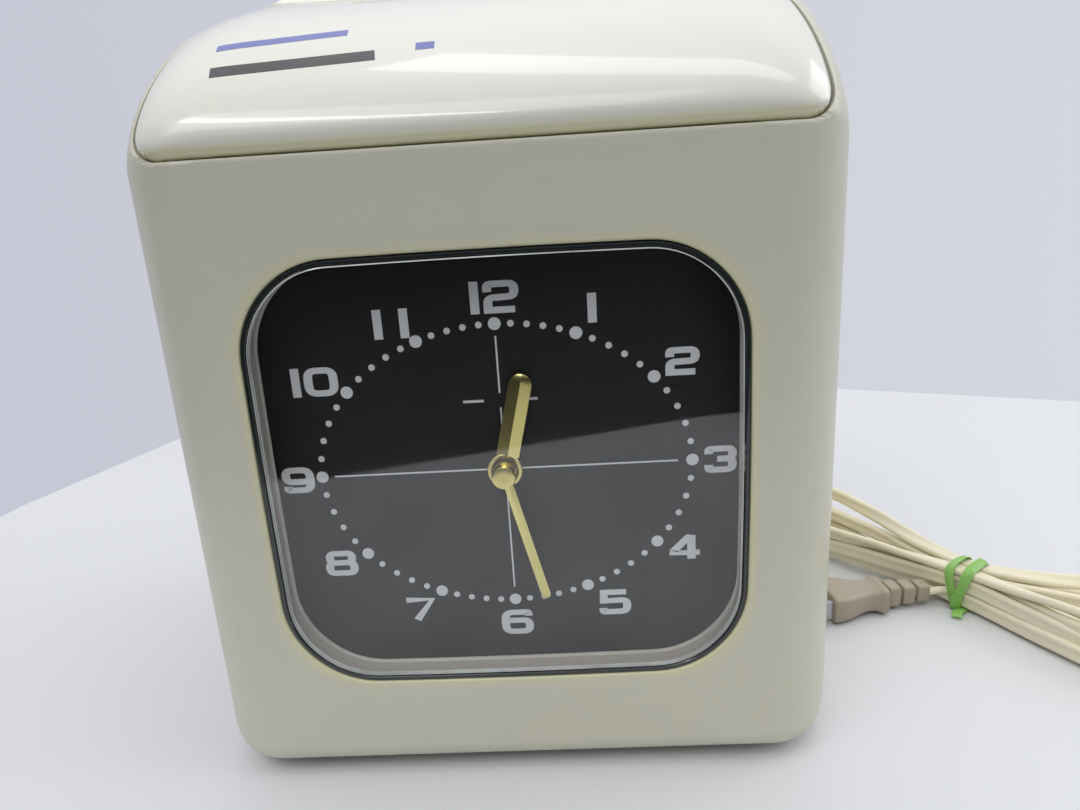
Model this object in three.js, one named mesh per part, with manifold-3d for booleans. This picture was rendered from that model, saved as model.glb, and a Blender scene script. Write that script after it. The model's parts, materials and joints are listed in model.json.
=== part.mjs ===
// Punch time clock: a desk or wall recorder with an analogue dial, which prints the time on a card.
// Millimetres, +Z up. The origin is the centre of the footprint, on the surface that the feet stand on.
// -Y is the dial side, +X is to the right of someone who reads the dial.

import * as THREE from "three";
import { mergeVertices } from "three/addons/utils/BufferGeometryUtils.js";
import Module from "manifold-3d";

const wasm = await Module();
wasm.setup();

// ---------------------------------------------------------------- driving dimensions

const WIDTH = 156;
const DEPTH = 123;
const HEIGHT = 213;
const HALF_WIDTH = WIDTH / 2;
const FRONT_Y = -DEPTH / 2;
const REAR_Y = DEPTH / 2;
const GAP = 0.3;

// Case
const CASE_BOTTOM = 3;
const WALL = 2.5;
const CORNER = 16;
const SHOULDER = 8;
const REAR_CORNER = 4;
const TOE = 6;
const LIP_TOP = 153.5;
const REAR_TOP = 206;
const FALL_START = 52;
const FALL = 9;
const SEAM_Z = 150.2;
const MOUTH_HALF = 72.3;
const MOUTH_RADIUS = 7;
const REAR_OPENING_HALF = 70;
const REAR_STEP_Z = SEAM_Z + MOUTH_RADIUS + 1;

// Window and dial
const DIAL_Z = 78;
const WINDOW_Z = 78.3;
const WINDOW_HALF_W = 54.7;
const WINDOW_HALF_H = 50.5;
const WINDOW_RADIUS = 21;
const DIAL_Y = -52.7;

// Cover hinge, behind the cover's rear edge
const HINGE_Y = 24;
const HINGE_Z = 193;
const COVER_REAR_Y = 27.3;
const HOOD_FRONT_Y = 28.3;
const HOOD_END_Z = 198.4;
const HINGE_SWEEP = 8.5;

// Card path
const CARD_HALF = 44;
const CHUTE_FRONT_Y = 36.9;
const CHUTE_REAR_Y = 42.9;
const CHUTE_BOTTOM = 60;
const CHUTE_TOP = 198;
const SHEET = 1.2;

// Printing unit
const TYPE_Y = 22;
const TYPE_Z = 167;
const TYPE_RADIUS = 11;
const HAMMER_Y = 54;
const HAMMER_Z = 140;
const CASSETTE_BOTTOM = 160;
const CASSETTE_TOP = 176;
const SPOOL_X = 38;
const SPOOL_Y = 15;

// Card receiver, a shelf on a rack
const RACK_X = 24;
const RACK_PITCH_Y = 47.5;
const RACK_MODULE = 1;
const RECEIVER_Z = 64;
const PINION_TEETH = 10;
const PINION_Z = 95;

// Clock movement
const MINUTE_TEETH = 30;
const THIRD_PINION_TEETH = 8;
const TRAIN_MODULE = 1;
const THIRD_X = -(MINUTE_TEETH + THIRD_PINION_TEETH) * TRAIN_MODULE / 2;
const THIRD_TEETH = 24;
const ROTOR_TEETH = 8;
const ROTOR_MODULE = 0.75;
const ROTOR_Z = DIAL_Z + (THIRD_TEETH + ROTOR_TEETH) * ROTOR_MODULE / 2;
const CANNON_TEETH = 10;
const MOTION_TEETH = 30;
const CANNON_MODULE = 0.9;
const MOTION_PINION_TEETH = 8;
const HOUR_TEETH = 32;
const HOUR_MODULE = 0.9;
const MOTION_X = (CANNON_TEETH + MOTION_TEETH) * CANNON_MODULE / 2;
const PLATE_HALF_W = 34;
const PLATE_HALF_H = 30;
const PILLAR_X = 29;
const PILLAR_Z = 25;

// Chassis
const CHASSIS_HALF = 60;
const CHASSIS_SHEET = 2;
const CHASSIS_BOTTOM = 9;

// Cover lock, in the right side
const LOCK_Y = -15;
const LOCK_Z = 158;

// Mains lead
const LEAD_X = 54;
const LEAD_Z = 15;
const RELIEF_END_Y = 81.8;
const LEAD_RADIUS = 1.5;
const HANK_LOW = 1;
const HANK_HIGH = 13.6;
const HANK_START = [104, 76];
const HANK_TIE = [145, 9];
const HANK_END = [192, -42];
const PLUG_TURN = THREE.MathUtils.degToRad(6);

// ---------------------------------------------------------------- materials

const plastic = (color, roughness = 0.45) => new THREE.MeshStandardMaterial({ color, roughness, metalness: 0 });
const metal = (color, roughness = 0.35) => new THREE.MeshStandardMaterial({ color, roughness, metalness: 1 });

const CREAM = plastic(0xcfcab6);
const COVER_CREAM = plastic(0xe0dccb, 0.3);
const BEZEL_BEIGE = plastic(0xb5ab9c, 0.5);
const BLACK = plastic(0x17191c, 0.5);
const RUBBER = plastic(0x3a302c, 0.9);
const CLEAR = new THREE.MeshStandardMaterial({ color: 0xffffff, roughness: 0.05, transparent: true, opacity: 0.2 });
const DIAL_BLACK = plastic(0x15161a, 0.6);
const GOLD = metal(0xd9b45a);
const BRASS = metal(0xb8923f);
const STEEL = metal(0x9a9c9e);
const ZINC = metal(0xb9bcc0, 0.5);
const BOARD_GREEN = plastic(0x2c5a34, 0.6);
const WHITE_PLASTIC = plastic(0xdedbd2);
const BLUE_KEY = plastic(0x5d6a8c);
const RIBBON_INK = plastic(0x241d2c, 0.9);
const LEAD_CREAM = plastic(0xd8cfaf, 0.5);
const TIE_GREEN = plastic(0x6fbf3a, 0.5);

// ---------------------------------------------------------------- making solids

const group = new THREE.Group();

function solid(geometry) {
  const bare = geometry.index ? geometry.toNonIndexed() : geometry.clone();
  bare.deleteAttribute("normal");
  bare.deleteAttribute("uv");
  const merged = mergeVertices(bare, 1e-4);
  return new wasm.Manifold(new wasm.Mesh({
    numProp: 3,
    vertProperties: merged.attributes.position.array,
    triVerts: new Uint32Array(merged.index.array),
  }));
}

function addPart(name, shape, material) {
  const mesh = shape.getMesh();
  const geometry = new THREE.BufferGeometry();
  geometry.setAttribute("position", new THREE.BufferAttribute(new Float32Array(mesh.vertProperties), 3));
  geometry.setIndex(new THREE.BufferAttribute(new Uint32Array(mesh.triVerts), 1));
  geometry.computeVertexNormals();
  const part = new THREE.Mesh(geometry, material);
  part.name = name;
  group.add(part);
  return part;
}

const joined = (...shapes) => shapes.reduce((whole, shape) => whole.add(shape));
const cut = (body, ...tools) => tools.reduce((rest, tool) => rest.subtract(tool), body);

function block([x0, x1], [y0, y1], [z0, z1]) {
  const geometry = new THREE.BoxGeometry(x1 - x0, y1 - y0, z1 - z0);
  geometry.translate((x0 + x1) / 2, (y0 + y1) / 2, (z0 + z1) / 2);
  return solid(geometry);
}

const X = new THREE.Vector3(1, 0, 0);
const Y = new THREE.Vector3(0, 1, 0);
const Z = new THREE.Vector3(0, 0, 1);

// A round bar along one axis. The centre is given by its other two coordinates, in the order X, Y, Z.
function rod(axis, radius, [low, high], [a, b], sides = 16) {
  const geometry = new THREE.CylinderGeometry(radius, radius, high - low, sides);
  const middle = (low + high) / 2;
  if (axis === "X") {
    geometry.rotateZ(-Math.PI / 2);
    geometry.translate(middle, a, b);
  } else if (axis === "Y") {
    geometry.translate(a, middle, b);
  } else {
    geometry.rotateX(Math.PI / 2);
    geometry.translate(a, b, middle);
  }
  return solid(geometry);
}

// An outline drawn in the plane across an axis (YZ, XZ or XY), extruded along that axis.
function slab(axis, outline, [low, high], curveSegments = 5) {
  const geometry = new THREE.ExtrudeGeometry(outline, { depth: high - low, bevelEnabled: false, curveSegments });
  const turn = new THREE.Matrix4();
  if (axis === "X") {
    turn.makeBasis(Y, Z, X).setPosition(low, 0, 0);
  } else if (axis === "Y") {
    turn.makeBasis(X, Z, Y.clone().negate()).setPosition(0, high, 0);
  } else {
    turn.setPosition(0, 0, low);
  }
  geometry.applyMatrix4(turn);
  return solid(geometry);
}

const polygon = (points) => new THREE.Shape(points.map(([a, b]) => new THREE.Vector2(a, b)));

function roundedRect(a0, a1, b0, b1, radius) {
  const shape = new THREE.Shape();
  shape.absarc(a1 - radius, b0 + radius, radius, -Math.PI / 2, 0);
  shape.absarc(a1 - radius, b1 - radius, radius, 0, Math.PI / 2);
  shape.absarc(a0 + radius, b1 - radius, radius, Math.PI / 2, Math.PI);
  shape.absarc(a0 + radius, b0 + radius, radius, Math.PI, Math.PI * 1.5);
  return shape;
}

// A turned piece: the profile is a list of [radius, height] that closes on itself or ends on the axis.
function turned(profile, axis, [a, b], sides = 20) {
  const geometry = new THREE.LatheGeometry(profile.map(([r, h]) => new THREE.Vector2(r, h)), sides);
  if (axis === "Y") {
    geometry.translate(a, 0, b);
  } else {
    geometry.rotateX(Math.PI / 2);
    geometry.translate(a, b, 0);
  }
  const made = solid(geometry);
  return made.volume() < 0 ? solid(reversed(geometry)) : made;
}

function reversed(geometry) {
  const flat = geometry.index ? geometry.toNonIndexed() : geometry.clone();
  const p = flat.attributes.position;
  for (let i = 0; i < p.count; i += 3) {
    const second = new THREE.Vector3().fromBufferAttribute(p, i + 1);
    const third = new THREE.Vector3().fromBufferAttribute(p, i + 2);
    p.setXYZ(i + 1, third.x, third.y, third.z);
    p.setXYZ(i + 2, second.x, second.y, second.z);
  }
  return flat;
}

// A toothed wheel's outline about a centre. A tooth points along the angle `phase`.
const TOOTH_TIP = 0.6;
const TOOTH_ROOT = 0.9;
function gearOutline(teeth, module, phase, [a, b] = [0, 0]) {
  const pitch = teeth * module / 2;
  const step = 2 * Math.PI / teeth;
  const corners = [[-0.24, -TOOTH_ROOT], [-0.1, TOOTH_TIP], [0.1, TOOTH_TIP], [0.24, -TOOTH_ROOT]];
  const points = [];
  for (let tooth = 0; tooth < teeth; tooth += 1) {
    for (const [along, out] of corners) {
      const angle = phase + (tooth + along) * step;
      const radius = pitch + out * module;
      points.push([a + radius * Math.cos(angle), b + radius * Math.sin(angle)]);
    }
  }
  return polygon(points);
}

// ---------------------------------------------------------------- the case's outer form

// The crown that the cover and the case's shoulders share, from the front lip to the rear edge.
const CROWN = new THREE.CubicBezierCurve(
  new THREE.Vector2(FRONT_Y, LIP_TOP),
  new THREE.Vector2(FRONT_Y, 163.5),
  new THREE.Vector2(-25, 196.5),
  new THREE.Vector2(REAR_Y, REAR_TOP),
);

// The side view as points with outward normals, anticlockwise from the rear bottom edge.
function sideProfile() {
  const points = [{ y: REAR_Y, z: CASE_BOTTOM, ny: 1, nz: -1 }, { y: REAR_Y, z: REAR_TOP, ny: 1, nz: 1 }];
  const crownSteps = 12;
  for (let i = crownSteps - 1; i >= 0; i -= 1) {
    const at = CROWN.getPoint(i / crownSteps);
    const along = CROWN.getTangent(i / crownSteps);
    points.push({ y: at.x, z: at.y, ny: -along.y, nz: along.x });
  }
  const toeSteps = 4;
  for (let i = 0; i <= toeSteps; i += 1) {
    const angle = Math.PI + i / toeSteps * Math.PI / 2;
    const ny = Math.cos(angle);
    const nz = Math.sin(angle);
    points.push({ y: FRONT_Y + TOE + TOE * ny, z: CASE_BOTTOM + TOE + TOE * nz, ny, nz });
  }
  return points;
}

// Moves a coordinate away from an edge: by the whole amount on the edge, by none beyond the zone.
const eased = (value, edge, zone, amount) => value + amount * Math.max(0, 1 - Math.abs(value - edge) / zone);

// How far the crown falls towards both sides.
function fallAt(x) {
  const share = Math.min(1, Math.max(0, Math.abs(x) - FALL_START) / (HALF_WIDTH - FALL_START));
  return FALL * (1 - Math.sqrt(1 - share * share));
}

// One cross-section of the form, `inset` inside it, drawn in by `draw` (0 to 1) towards a side's flat.
function sectionAt(inset, draw, x) {
  const fall = fallAt(Math.abs(x) + 0.8 * inset);
  const frontZone = 40;
  const rearZone = 20;
  const bottomZone = 20;
  return sideProfile().map(({ y, z, ny, nz }) => {
    const fromFront = eased(y - ny * inset, FRONT_Y + inset, frontZone, (CORNER - inset) * draw);
    const drawnY = eased(fromFront, REAR_Y - inset, rearZone, (inset - REAR_CORNER) * draw);
    const raisedZ = eased(z - nz * inset, CASE_BOTTOM + inset, bottomZone, (SHOULDER - inset) * draw);
    return [drawnY, raisedZ - (z < LIP_TOP ? 0 : fall)];
  });
}

// The whole form, rounded towards both sides, `inset` inside the outer skin.
function caseForm(inset) {
  const cornerSteps = 4;
  const right = [{ x: FALL_START, section: sectionAt(inset, 0, FALL_START) }];
  for (let i = 0; i <= cornerSteps; i += 1) {
    const angle = i / cornerSteps * Math.PI / 2;
    const x = HALF_WIDTH - CORNER + (CORNER - inset) * Math.sin(angle);
    right.push({ x, section: sectionAt(inset, 1 - Math.cos(angle), x) });
  }
  const left = right.map(({ x, section }) => ({ x: -x, section })).reverse();
  return lofted([...left, ...right]);
}

// A closed solid through cross-sections that stand across X, each with the same number of points.
function lofted(stations) {
  const count = stations[0].section.length;
  const positions = [];
  const faces = [];
  for (const { x, section } of stations) {
    for (const [y, z] of section) {
      positions.push(x, y, z);
    }
  }
  for (let s = 0; s + 1 < stations.length; s += 1) {
    for (let i = 0; i < count; i += 1) {
      const next = (i + 1) % count;
      const [a, b] = [s * count + i, (s + 1) * count + i];
      const [c, d] = [(s + 1) * count + next, s * count + next];
      faces.push(a, d, c, a, c, b);
    }
  }
  for (const [station, flip] of [[0, true], [stations.length - 1, false]]) {
    const ring = stations[station].section.map(([y, z]) => new THREE.Vector2(y, z));
    for (const [a, b, c] of THREE.ShapeUtils.triangulateShape(ring, [])) {
      const [p, q, r] = [a, b, c].map((i) => station * count + i);
      faces.push(...(flip ? [p, r, q] : [p, q, r]));
    }
  }
  const geometry = new THREE.BufferGeometry();
  geometry.setAttribute("position", new THREE.Float32BufferAttribute(positions, 3));
  geometry.setIndex(faces);
  return solid(geometry);
}

const OUTER_FORM = caseForm(0);
const INNER_FORM = caseForm(WALL);

const windowOutline = (grow) => roundedRect(
  -WINDOW_HALF_W - grow,
  WINDOW_HALF_W + grow,
  WINDOW_Z - WINDOW_HALF_H - grow,
  WINDOW_Z + WINDOW_HALF_H + grow,
  WINDOW_RADIUS + grow,
);

// The upright-sided space that the cover and the card hood fill, drawn in by `inset`.
function mouth(inset, [y0, y1]) {
  const half = MOUTH_HALF - inset;
  const outline = roundedRect(-half, half, SEAM_Z + inset, HEIGHT + 20, MOUTH_RADIUS - inset);
  return slab("Y", outline, [y0, y1]);
}

// ---------------------------------------------------------------- housing

const KEYHOLE_X = 40;
const KEYHOLE_Z = 140;
const KEYHOLE_HEAD = 4.5;
const KEYHOLE_SLOT = 2.4;
const KEYHOLE_RISE = 10;
const LOCK_RADIUS = 8;

function frontCase() {
  const windowHole = slab("Y", windowOutline(0), [FRONT_Y - 5, FRONT_Y + 5]);
  const topMouth = mouth(0, [FRONT_Y - 5, REAR_Y + 5]);
  const rearOpening = block([-REAR_OPENING_HALF, REAR_OPENING_HALF], [REAR_Y - 6, REAR_Y + 5], [8, REAR_STEP_Z]);
  const underOpening = slab("Z", roundedRect(-64, 64, -53, 57, 8), [0, CASE_BOTTOM + 5]);
  const lockHole = rod("X", LOCK_RADIUS + GAP, [HALF_WIDTH - 5, HALF_WIDTH + 5], [LOCK_Y, LOCK_Z]);
  return cut(OUTER_FORM, INNER_FORM, windowHole, topMouth, rearOpening, underOpening, lockHole);
}

const SKIRT_DEPTH = 10;
const HINGE_ARM_X = [64.5, 67.5];
const PIN_RADIUS = 2;

function topCover() {
  const edge = 0.4;
  const skirtWall = 2.2;
  const skin = OUTER_FORM.intersect(mouth(edge, [FRONT_Y - 5, COVER_REAR_Y]));
  const hollow = INNER_FORM.intersect(mouth(edge + skirtWall, [FRONT_Y - 5, COVER_REAR_Y + 5]));
  const crown = CROWN.getPoints(10).map((at) => [at.x, at.y - SKIRT_DEPTH]);
  const below = slab("X", polygon([...crown.reverse(), [FRONT_Y, 100], [REAR_Y, 100]]), [-HALF_WIDTH, HALF_WIDTH]);
  const frontLip = block([-MOUTH_HALF, MOUTH_HALF], [FRONT_Y - 5, FRONT_Y + WALL], [SEAM_Z, SEAM_Z + 30]);
  const shell = cut(skin, hollow, cut(below, frontLip));
  const pieces = [];
  for (const side of [-1, 1]) {
    const reach = HINGE_ARM_X.map((x) => side * x).sort((a, b) => a - b);
    const eye = rod("X", 4.2, reach, [HINGE_Y, HINGE_Z]);
    const strap = block(reach, [HINGE_Y - 4.2, HINGE_Y + 3], [HINGE_Z, HINGE_Z + 8]);
    pieces.push(joined(eye, strap).intersect(OUTER_FORM));
  }
  const catchPlate = block([66.3, 68.3], [-34, -24], [SEAM_Z + 0.7, 182]).intersect(OUTER_FORM);
  const catchLedge = block([61.6, 68.3], [-34, -24], [SEAM_Z + 0.7, SEAM_Z + 2.7]);
  const pinHoles = rod("X", PIN_RADIUS + GAP, [-70, 70], [HINGE_Y, HINGE_Z]);
  return cut(joined(shell, ...pieces, catchPlate, catchLedge), pinHoles);
}

// The raised hood behind the cover: its crown falls towards both ends, and the card slot opens in its top.
function cardHood() {
  const side = (drop) => {
    const shape = new THREE.Shape();
    shape.moveTo(HOOD_FRONT_Y + drop, HINGE_Z - 20);
    shape.lineTo(HOOD_FRONT_Y + drop, 200);
    shape.quadraticCurveTo(HOOD_FRONT_Y + drop + 3, HEIGHT - drop, 45, HEIGHT - drop);
    shape.quadraticCurveTo(REAR_Y - drop, HEIGHT - drop, REAR_Y - drop, 201);
    shape.lineTo(REAR_Y - drop, HINGE_Z - 20);
    return shape;
  };
  const across = (drop) => {
    const half = MOUTH_HALF - 0.4 - drop;
    const shape = new THREE.Shape();
    shape.moveTo(-half, 190 - drop);
    shape.lineTo(half, 190 - drop);
    shape.lineTo(half, HOOD_END_Z - drop);
    shape.bezierCurveTo(half - 6, 205 - drop, 48, HEIGHT - drop, 36, HEIGHT - drop);
    shape.lineTo(-36, HEIGHT - drop);
    shape.bezierCurveTo(-48, HEIGHT - drop, -half + 6, 205 - drop, -half, HOOD_END_Z - drop);
    return shape;
  };
  const body = (drop) => slab("X", side(drop), [-MOUTH_HALF, MOUTH_HALF])
    .intersect(slab("Y", across(drop), [HOOD_FRONT_Y - 1, REAR_Y + 1]));
  const hingeRoom = rod("X", HINGE_SWEEP, [-80, 80], [HINGE_Y, HINGE_Z], 32);
  const slot = block([-CARD_HALF, CARD_HALF], [CHUTE_FRONT_Y, CHUTE_REAR_Y], [150, 230]);
  const rearTrim = block([-80, 80], [REAR_Y - 3.1, REAR_Y + 3], [150, 195.8]);
  const throat = cut(
    block([-CARD_HALF - 2, CARD_HALF + 2], [CHUTE_FRONT_Y - 1.6, CHUTE_REAR_Y + 1.6], [CHUTE_TOP + 0.6, 212]),
    slot,
  ).intersect(body(0));
  return cut(cut(body(0), body(WALL)).add(throat), slot, hingeRoom, rearTrim);
}

const SCREW_X = 62;
const SCREW_ZS = [22, 180];
const HEAD_RADIUS = 3;
const SHANK_RADIUS = 1.3;

function rearPanel() {
  const [y0, y1] = [REAR_Y - WALL, REAR_Y];
  const lower = REAR_OPENING_HALF - GAP;
  const upper = MOUTH_HALF - 0.4;
  const outline = polygon([
    [-lower, 8.3],
    [lower, 8.3],
    [lower, REAR_STEP_Z + GAP],
    [upper, REAR_STEP_Z + GAP],
    [upper, 195.5],
    [-upper, 195.5],
    [-upper, REAR_STEP_Z + GAP],
    [-lower, REAR_STEP_Z + GAP],
  ]);
  let panel = slab("Y", outline, [y0, y1]);
  for (const side of [-1, 1]) {
    const x = side * KEYHOLE_X;
    const head = rod("Y", KEYHOLE_HEAD, [y0 - 1, y1 + 1], [x, KEYHOLE_Z]);
    const neck = block([x - KEYHOLE_SLOT, x + KEYHOLE_SLOT], [y0 - 1, y1 + 1], [KEYHOLE_Z, KEYHOLE_Z + KEYHOLE_RISE]);
    panel = cut(panel, head, neck);
    for (const z of SCREW_ZS) {
      const recess = rod("Y", HEAD_RADIUS + 0.4, [y1 - 1.6, y1 + 1], [side * SCREW_X, z], 16);
      const through = rod("Y", SHANK_RADIUS + GAP, [y0 - 1, y1 + 1], [side * SCREW_X, z], 12);
      panel = cut(panel, recess, through);
    }
  }
  return cut(panel, rod("Y", 4.3, [y0 - 1, y1 + 1], [LEAD_X, LEAD_Z]));
}

const BASE_LOW = 6.2;
const BASE_HIGH = 8.7;
const BASE_SCREWS = [[-50, 2], [50, 2], [-50, 50], [40, 50]];
const FEET = { front_left: [-56, -46], front_right: [56, -46], rear_left: [-56, 49], rear_right: [56, 49] };

function basePlate() {
  const plate = slab("Z", roundedRect(-67, 67, -56, 58, 12), [BASE_LOW, BASE_HIGH]);
  return cut(plate, ...BASE_SCREWS.map((at) => rod("Z", SHANK_RADIUS + GAP, [0, 20], at, 12)));
}

const foot = ([x, y]) => turned([[0, 0], [5.2, 0], [6, 1], [6, 5.9], [0, 5.9]], "Z", [x, y]);

// ---------------------------------------------------------------- window and dial

const LENS_OUTER_Y = FRONT_Y + 0.2;
const LENS_INNER_Y = FRONT_Y + 1.7;

const ringPart = (outer, inner, [y0, y1]) => cut(
  slab("Y", windowOutline(outer), [y0, y1]),
  slab("Y", windowOutline(inner), [y0 - 1, y1 + 1]),
);

const windowGasket = () => ringPart(-GAP, -1.2, [FRONT_Y + 0.3, LENS_INNER_Y]);
const windowLens = () => slab("Y", windowOutline(-1.5), [LENS_OUTER_Y, LENS_INNER_Y]);

function windowBezel() {
  const inside = FRONT_Y + WALL + GAP;
  const collar = ringPart(-0.4, -1.1, [LENS_INNER_Y + GAP, inside + 1.6]);
  const flange = ringPart(4, -0.6, [inside, inside + 1.6]);
  const tube = ringPart(1.2, -0.6, [inside, DIAL_Y - GAP]);
  return joined(collar, flange, tube);
}

function dialPlate() {
  const plate = slab("Y", windowOutline(1.5), [DIAL_Y, DIAL_Y + 1]);
  return cut(plate, rod("Y", 3.6, [DIAL_Y - 1, DIAL_Y + 2], [0, DIAL_Z]));
}

// A hand lies flat on the dial's face and points along `degrees`, clockwise from 12.
function handBlade(width, length, start, [y0, y1], degrees) {
  const shape = new THREE.Shape();
  const half = width / 2;
  shape.moveTo(-half, start);
  shape.lineTo(half, start);
  shape.lineTo(half, length - half);
  shape.absarc(0, length - half, half, 0, Math.PI);
  const geometry = new THREE.ExtrudeGeometry(shape, { depth: y1 - y0, bevelEnabled: false, curveSegments: 6 });
  geometry.rotateX(Math.PI / 2);
  geometry.rotateY(THREE.MathUtils.degToRad(degrees));
  geometry.translate(0, y1, DIAL_Z);
  return solid(geometry);
}

const HOUR_ANGLE = 13.5;
const MINUTE_ANGLE = 166;
const HOUR_HAND_Y = [-54.7, -53.9];
const MINUTE_HAND_Y = [-56.6, -55.9];

function hourHand() {
  const ring = rod("Y", 4.15, HOUR_HAND_Y, [0, DIAL_Z], 24);
  const blade = handBlade(5.2, 23.5, 2.5, HOUR_HAND_Y, HOUR_ANGLE);
  return cut(joined(ring, blade), rod("Y", 3.1, [-60, -50], [0, DIAL_Z], 24));
}

function minuteHand() {
  const hub = rod("Y", 2.7, [-59.4, -55.2], [0, DIAL_Z]);
  const blade = handBlade(2.1, 33.5, 0, MINUTE_HAND_Y, MINUTE_ANGLE);
  return cut(joined(hub, blade), rod("Y", 1.5, [-57.4, -50], [0, DIAL_Z], 12));
}

// ---------------------------------------------------------------- clock movement

function movementFrontPlate() {
  const plate = block([-PLATE_HALF_W, PLATE_HALF_W], [-47.5, -46], [DIAL_Z - PLATE_HALF_H, DIAL_Z + PLATE_HALF_H]);
  const pillars = [];
  for (const x of [-PILLAR_X, PILLAR_X]) {
    for (const dz of [-PILLAR_Z, PILLAR_Z]) {
      pillars.push(rod("Y", 2.5, [-51.4, -25], [x, DIAL_Z + dz], 12));
    }
  }
  const holes = [
    rod("Y", 3.2, [-50, -40], [0, DIAL_Z], 16),
    rod("Y", 1.3, [-50, -40], [MOTION_X, DIAL_Z], 12),
    rod("Y", 1.3, [-50, -40], [THIRD_X, DIAL_Z], 12),
    rod("Y", 1.3, [-50, -40], [THIRD_X, ROTOR_Z], 12),
  ];
  return cut(joined(plate, ...pillars), ...holes);
}

function movementBackPlate() {
  const plate = block([-PLATE_HALF_W, PLATE_HALF_W], [-24.7, -23.2], [DIAL_Z - PLATE_HALF_H, DIAL_Z + PLATE_HALF_H]);
  const holes = [[0, DIAL_Z], [MOTION_X, DIAL_Z], [THIRD_X, DIAL_Z], [THIRD_X, ROTOR_Z]];
  return cut(plate, ...holes.map((at) => rod("Y", 1.5, [-30, -20], at, 12)));
}

const gearY = (teeth, module, phase, at, range) => slab("Y", gearOutline(teeth, module, phase, at), range);

function minuteArbor() {
  const arbor = rod("Y", 1.2, [-57, -22], [0, DIAL_Z], 12);
  const cannon = gearY(CANNON_TEETH, CANNON_MODULE, 0, [0, DIAL_Z], [-41.9, -38.9]);
  const wheel = gearY(MINUTE_TEETH, TRAIN_MODULE, Math.PI, [0, DIAL_Z], [-34, -32.5]);
  return joined(arbor, cannon, wheel);
}

function hourWheel() {
  const pipe = rod("Y", 2.8, [-54.6, -42.6], [0, DIAL_Z], 16);
  const wheel = gearY(HOUR_TEETH, HOUR_MODULE, 0, [0, DIAL_Z], [-44.2, -42.6]);
  return cut(joined(pipe, wheel), rod("Y", 1.6, [-60, -40], [0, DIAL_Z], 12));
}

// A wheel's tooth faces a gap of its neighbour: half a tooth's turn from pointing at it.
const facingGap = (teeth, direction) => direction + Math.PI / teeth;

function motionWheel() {
  const at = [MOTION_X, DIAL_Z];
  const arbor = rod("Y", 1, [-47.2, -22.5], at, 12);
  const wheel = gearY(MOTION_TEETH, CANNON_MODULE, facingGap(MOTION_TEETH, Math.PI), at, [-41.4, -39.9]);
  const phase = facingGap(MOTION_PINION_TEETH, Math.PI);
  const pinion = gearY(MOTION_PINION_TEETH, HOUR_MODULE, phase, at, [-44.4, -41.3]);
  return joined(arbor, wheel, pinion);
}

function thirdWheel() {
  const at = [THIRD_X, DIAL_Z];
  const arbor = rod("Y", 1, [-47.2, -22.5], at, 12);
  const phase = facingGap(THIRD_PINION_TEETH, 0);
  const pinion = gearY(THIRD_PINION_TEETH, TRAIN_MODULE, phase, at, [-34.5, -31.5]);
  const wheel = gearY(THIRD_TEETH, ROTOR_MODULE, Math.PI / 2, at, [-30.2, -28.8]);
  return joined(arbor, pinion, wheel, rod("Y", 2, [-32, -30], at, 12));
}

function motorRotor() {
  const at = [THIRD_X, ROTOR_Z];
  const arbor = rod("Y", 1, [-47.2, -22.5], at, 12);
  const magnet = rod("Y", 4.6, [-41, -35.5], at);
  const phase = facingGap(ROTOR_TEETH, -Math.PI / 2);
  const pinion = gearY(ROTOR_TEETH, ROTOR_MODULE, phase, at, [-30.6, -28.4]);
  return joined(arbor, magnet, pinion);
}

// The stator's yoke, with the winding on its far limb.
function motorStator() {
  const yoke = block([THIRD_X - 6.8, THIRD_X + 9], [-39.5, -37.5], [ROTOR_Z - 7, DIAL_Z + 27]);
  const bore = rod("Y", 5.2, [-45, -30], [THIRD_X, ROTOR_Z]);
  const coilRoom = block([THIRD_X - 4, THIRD_X + 2], [-45, -30], [ROTOR_Z + 7, DIAL_Z + 23]);
  const winding = rod("Z", 4, [ROTOR_Z + 7.2, DIAL_Z + 22.8], [THIRD_X + 5.5, -38.5], 16);
  return joined(cut(yoke, bore, coilRoom), winding);
}

// ---------------------------------------------------------------- chassis, card path and printing unit

// A folded sheet frame, with the two pins that the cover turns on riveted to its cheeks.
function chassis() {
  const outline = polygon([
    [-6, CHASSIS_BOTTOM],
    [56, CHASSIS_BOTTOM],
    [56, 182],
    [34, 185.5],
    [27.2, 190.1],
    [27.4, 194.1],
    [25.5, 195.9],
    [22, 195],
    [16, 188],
    [-6, 178],
    [-6, 149],
    [-48, 149],
    [-48, 139],
    [-6, 139],
  ]);
  const inner = CHASSIS_HALF - CHASSIS_SHEET;
  const left = slab("X", outline, [-CHASSIS_HALF, -inner]);
  const right = slab("X", outline, [inner, CHASSIS_HALF]);
  const floor = block([-CHASSIS_HALF, CHASSIS_HALF], [-6, 56], [CHASSIS_BOTTOM, CHASSIS_BOTTOM + 1.5]);
  const holes = BASE_SCREWS.map((at) => rod("Z", SHANK_RADIUS + GAP, [0, 20], at, 12));
  const shaftHoles = rod("X", 1.8, [-70, 70], [HAMMER_Y, HAMMER_Z], 12);
  const pins = [-1, 1].map((side) => {
    const reach = [inner, HINGE_ARM_X[1] + 1].map((x) => side * x).sort((a, b) => a - b);
    return rod("X", PIN_RADIUS, reach, [HINGE_Y, HINGE_Z], 16);
  });
  return cut(joined(left, right, floor, ...pins), ...holes, shaftHoles);
}

const PRINT_WINDOW_HALF = 20;
const PRINT_WINDOW_Z = [157, 178];
const CROSS_HALF = 57.7;

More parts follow.
